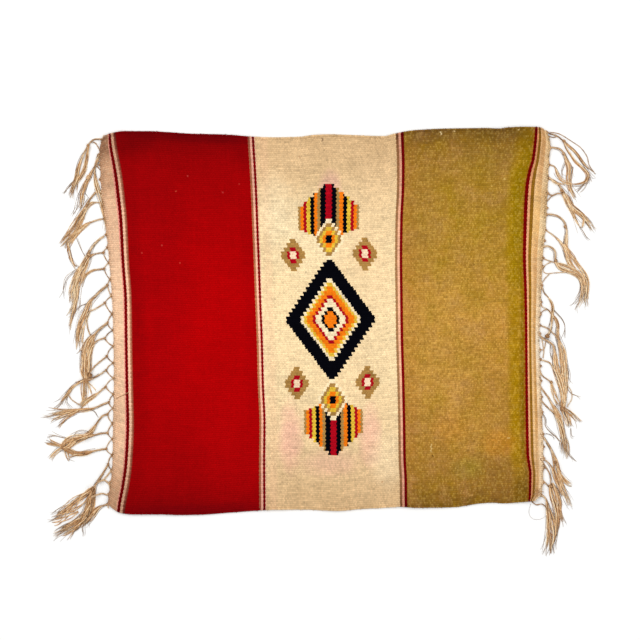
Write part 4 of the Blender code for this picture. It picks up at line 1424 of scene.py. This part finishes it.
def endOfWeb(side, y):
    # the place on one end of the web at a height
    cut = 0.0 if side == "left" else web["cutMarks"][-1]
    xs, ys = spread(cut, np.linspace(0, 1, 200))[:2]
    return float(np.interp(y, ys, xs))


knotting = {
    "out": 0.9,  # past the end of the web, mm
    "knotOut": 0.4,
    "warps": 6,  # drawn into each edge knot
    "warpRadius": 0.5,
    "warpReach": (4.0, 8.0),
    "warpTone": (-1.0, 0.9),
    "edgeSize": (1.3, 1.8),
    "edgeTurn": 25,
    "bow": (0.1, 1.0),
    "cord": (1.5, 1.9),
    "cordTone": -1.2,
    "meshSize": (1.7, 2.0),
    "meshTurn": 40,
    "step": 1.2,
    "threadRadius": 0.42,
    "worn": 0.3,
}


def drawWarps(skein, side, place, reach):
    # the warps that are drawn together from the end of the web into one knot
    x, y = place
    out = -1.0 if side == "left" else 1.0
    middle = web["thickness"] / 2
    count = knotting["warps"]
    for k in range(count):
        fromY = y + reach * ((k + 0.5) / count * 2 - 1)
        end = endOfWeb(side, fromY)
        route = ((end - out * 1.6, fromY, middle), (end + out * 0.1, y + (fromY - y) * 0.7, middle),
                 (x, y + (fromY - y) * 0.1, middle * 0.9))
        line = smoothRoute(route, knotting["step"])
        skein.add(line, knotting["warpRadius"], rng.normal(*knotting["warpTone"]), knotting["worn"])


def tieMesh(skein, pile, places):
    # the second row of knots, with the cords that lead to them
    for x, y in meshKnots:
        near = sorted(places, key=lambda place: abs(place[1] - y))[:2]
        for startX, startY in near:
            bow = rng.uniform(*knotting["bow"])
            route = ((startX, startY), (startX * 0.62 + x * 0.38 - bow, startY * 0.72 + y * 0.28),
                     (startX * 0.26 + x * 0.74 - bow, startY * 0.36 + y * 0.64), (x, y))
            widths = (rng.uniform(*knotting["cord"]),)
            layCord(skein, pile, Run("cord", 2, widths, route), knotting["cordTone"])
        turn = knotting["meshTurn"]
        tieKnot(skein, pile, Knot(x, y, rng.uniform(*knotting["meshSize"]), rng.uniform(-turn, turn)))


def buildKnotting(side, material, shift, pile):
    skein = Skein()
    out = -1.0 if side == "left" else 1.0
    heights = edgeKnots[side]
    places = [(endOfWeb(side, y) + out * knotting["out"], float(y)) for y in heights]
    least, most = knotting["warpReach"]
    turn = knotting["edgeTurn"]
    for x, y in places:
        gap = min(abs(y - other) for other in heights if other != y)
        drawWarps(skein, side, (x, y), min(max(gap / 2, least), most))
        size = rng.uniform(*knotting["edgeSize"])
        tieKnot(skein, pile, Knot(x + out * knotting["knotOut"], y, size, rng.uniform(-turn, turn)))
    if side == "left":
        tieMesh(skein, pile, places)
    for number, route in enumerate(looseThreads[side]):
        line = smoothRoute(route, knotting["step"])
        line = np.column_stack([line, webTop(line) + 0.3 + 0.35 * number])
        skein.add(line, knotting["threadRadius"], -1.4 + 0.5 * (number % 2), knotting["worn"])
    return skein.makePiece("knotting" + side.capitalize(), material, shift)


def buildTassel(name, material, shift, pile):
    skein = Skein()
    temper = tempers.get(name, Temper(0.0, 1.0))
    for item in tassels[name]:
        if isinstance(item, Knot):
            tieKnot(skein, pile, item)
        elif item.kind == "cord":  # thin ones are darker
            layCord(skein, pile, item, temper.tone * 0.6 - (0.9 if item.widths[0] < 2.3 else 0.2))
        elif item.kind == "wisp":
            layHairs(skein, pile, item, item.yarns)
        else:
            yarns = max(3, round(item.yarns * temper.girth))
            widths = [item.widths[0], *(width * temper.girth for width in item.widths[1:])]
            layLoose(skein, pile, item._replace(yarns=yarns, widths=widths), temper)
    side, number = name.split("_")
    return skein.makePiece("tassel" + side.capitalize() + number, material, shift)


yarnWool = {
    "shade": 0.62,  # where along its dyes the middle tone lies
    "tone": 0.15,
    "patch": 1.0,
    "fibre": 0.5,
    "worn": 0.75,
    "dyes": ((0.0, "6A4422"), (0.2, "8C5E34"), (0.42, "BB895A"), (0.62, "DBAF7E"), (0.82, "EFCB9B"),
             (1.0, "FBE4BE")),
    "wornDyes": ((0.0, "5E5244"), (0.5, "9C8C76"), (1.0, "D8CCB8")),
    "look": {"Roughness": 0.9, "Sheen Weight": 0.05, "Specular IOR Level": 0.1},
    "bump": {"Strength": 0.6, "Distance": 0.0003},
}


def warpYarn():
    material, start = newMaterial("warp yarn", yarnWool["look"])
    place = start.add("ShaderNodeUVMap", {"uv_map": "yarn"})
    around = place.part(0)
    along = place.part(1) * 1000.0
    tone = start.add("ShaderNodeAttribute", {"attribute_name": "tone"}, None, 2)
    worn = start.add("ShaderNodeAttribute", {"attribute_name": "worn"}, None, 2)
    patch = (along * 0.10).place(tone).noise()
    fibre = (around * 3.0).place(along * 0.9, tone).noise()
    shade = yarnWool["shade"] + tone * yarnWool["tone"] + (patch - 0.5) * yarnWool["patch"]
    colour = (worn * yarnWool["worn"]).mix(shade.ramp(yarnWool["dyes"]), shade.ramp(yarnWool["wornDyes"]))
    colour = colour.tint(1.0 + (fibre - 0.5) * yarnWool["fibre"])
    ply = (around * 4 * math.pi - along * 2 * math.pi / fringe["lay"]).sine()
    return joinShader(material, colour, ply * 0.5 + fibre, yarnWool["bump"])


def cadShift():
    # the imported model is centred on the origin: how far from the tables above it lies, in m
    low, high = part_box("web")
    x, y = spread(np.array(web["cutMarks"])[None, :], np.linspace(0, 1, 15)[:, None])[:2]
    return np.array([(low.x + high.x) / 2 - (x.min() + x.max()) / 2 * mm,
                     (low.y + high.y) / 2 - (y.min() + y.max()) / 2 * mm])


def main():
    shift = cadShift()
    print("shift", shift)
    setStage(shift)
    webPiece = buildWeb(wovenWool(), shift)
    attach(webPiece, "root")
    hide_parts("web")
    yarn = warpYarn()
    pile = Pile()
    pieces = []
    for side in ("left", "right"):
        heading = buildKnotting(side, yarn, shift, pile)
        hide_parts("heading_" + side)
        pieces.append(heading)
    for name in tassels:
        tassel = buildTassel(name, yarn, shift, pile)
        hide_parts("tassel_" + name)
        pieces.append(tassel)
    for piece in pieces:
        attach(piece, "root")
    print("fringe laid:", sum(len(piece.data.polygons) for piece in pieces), "faces")


main()
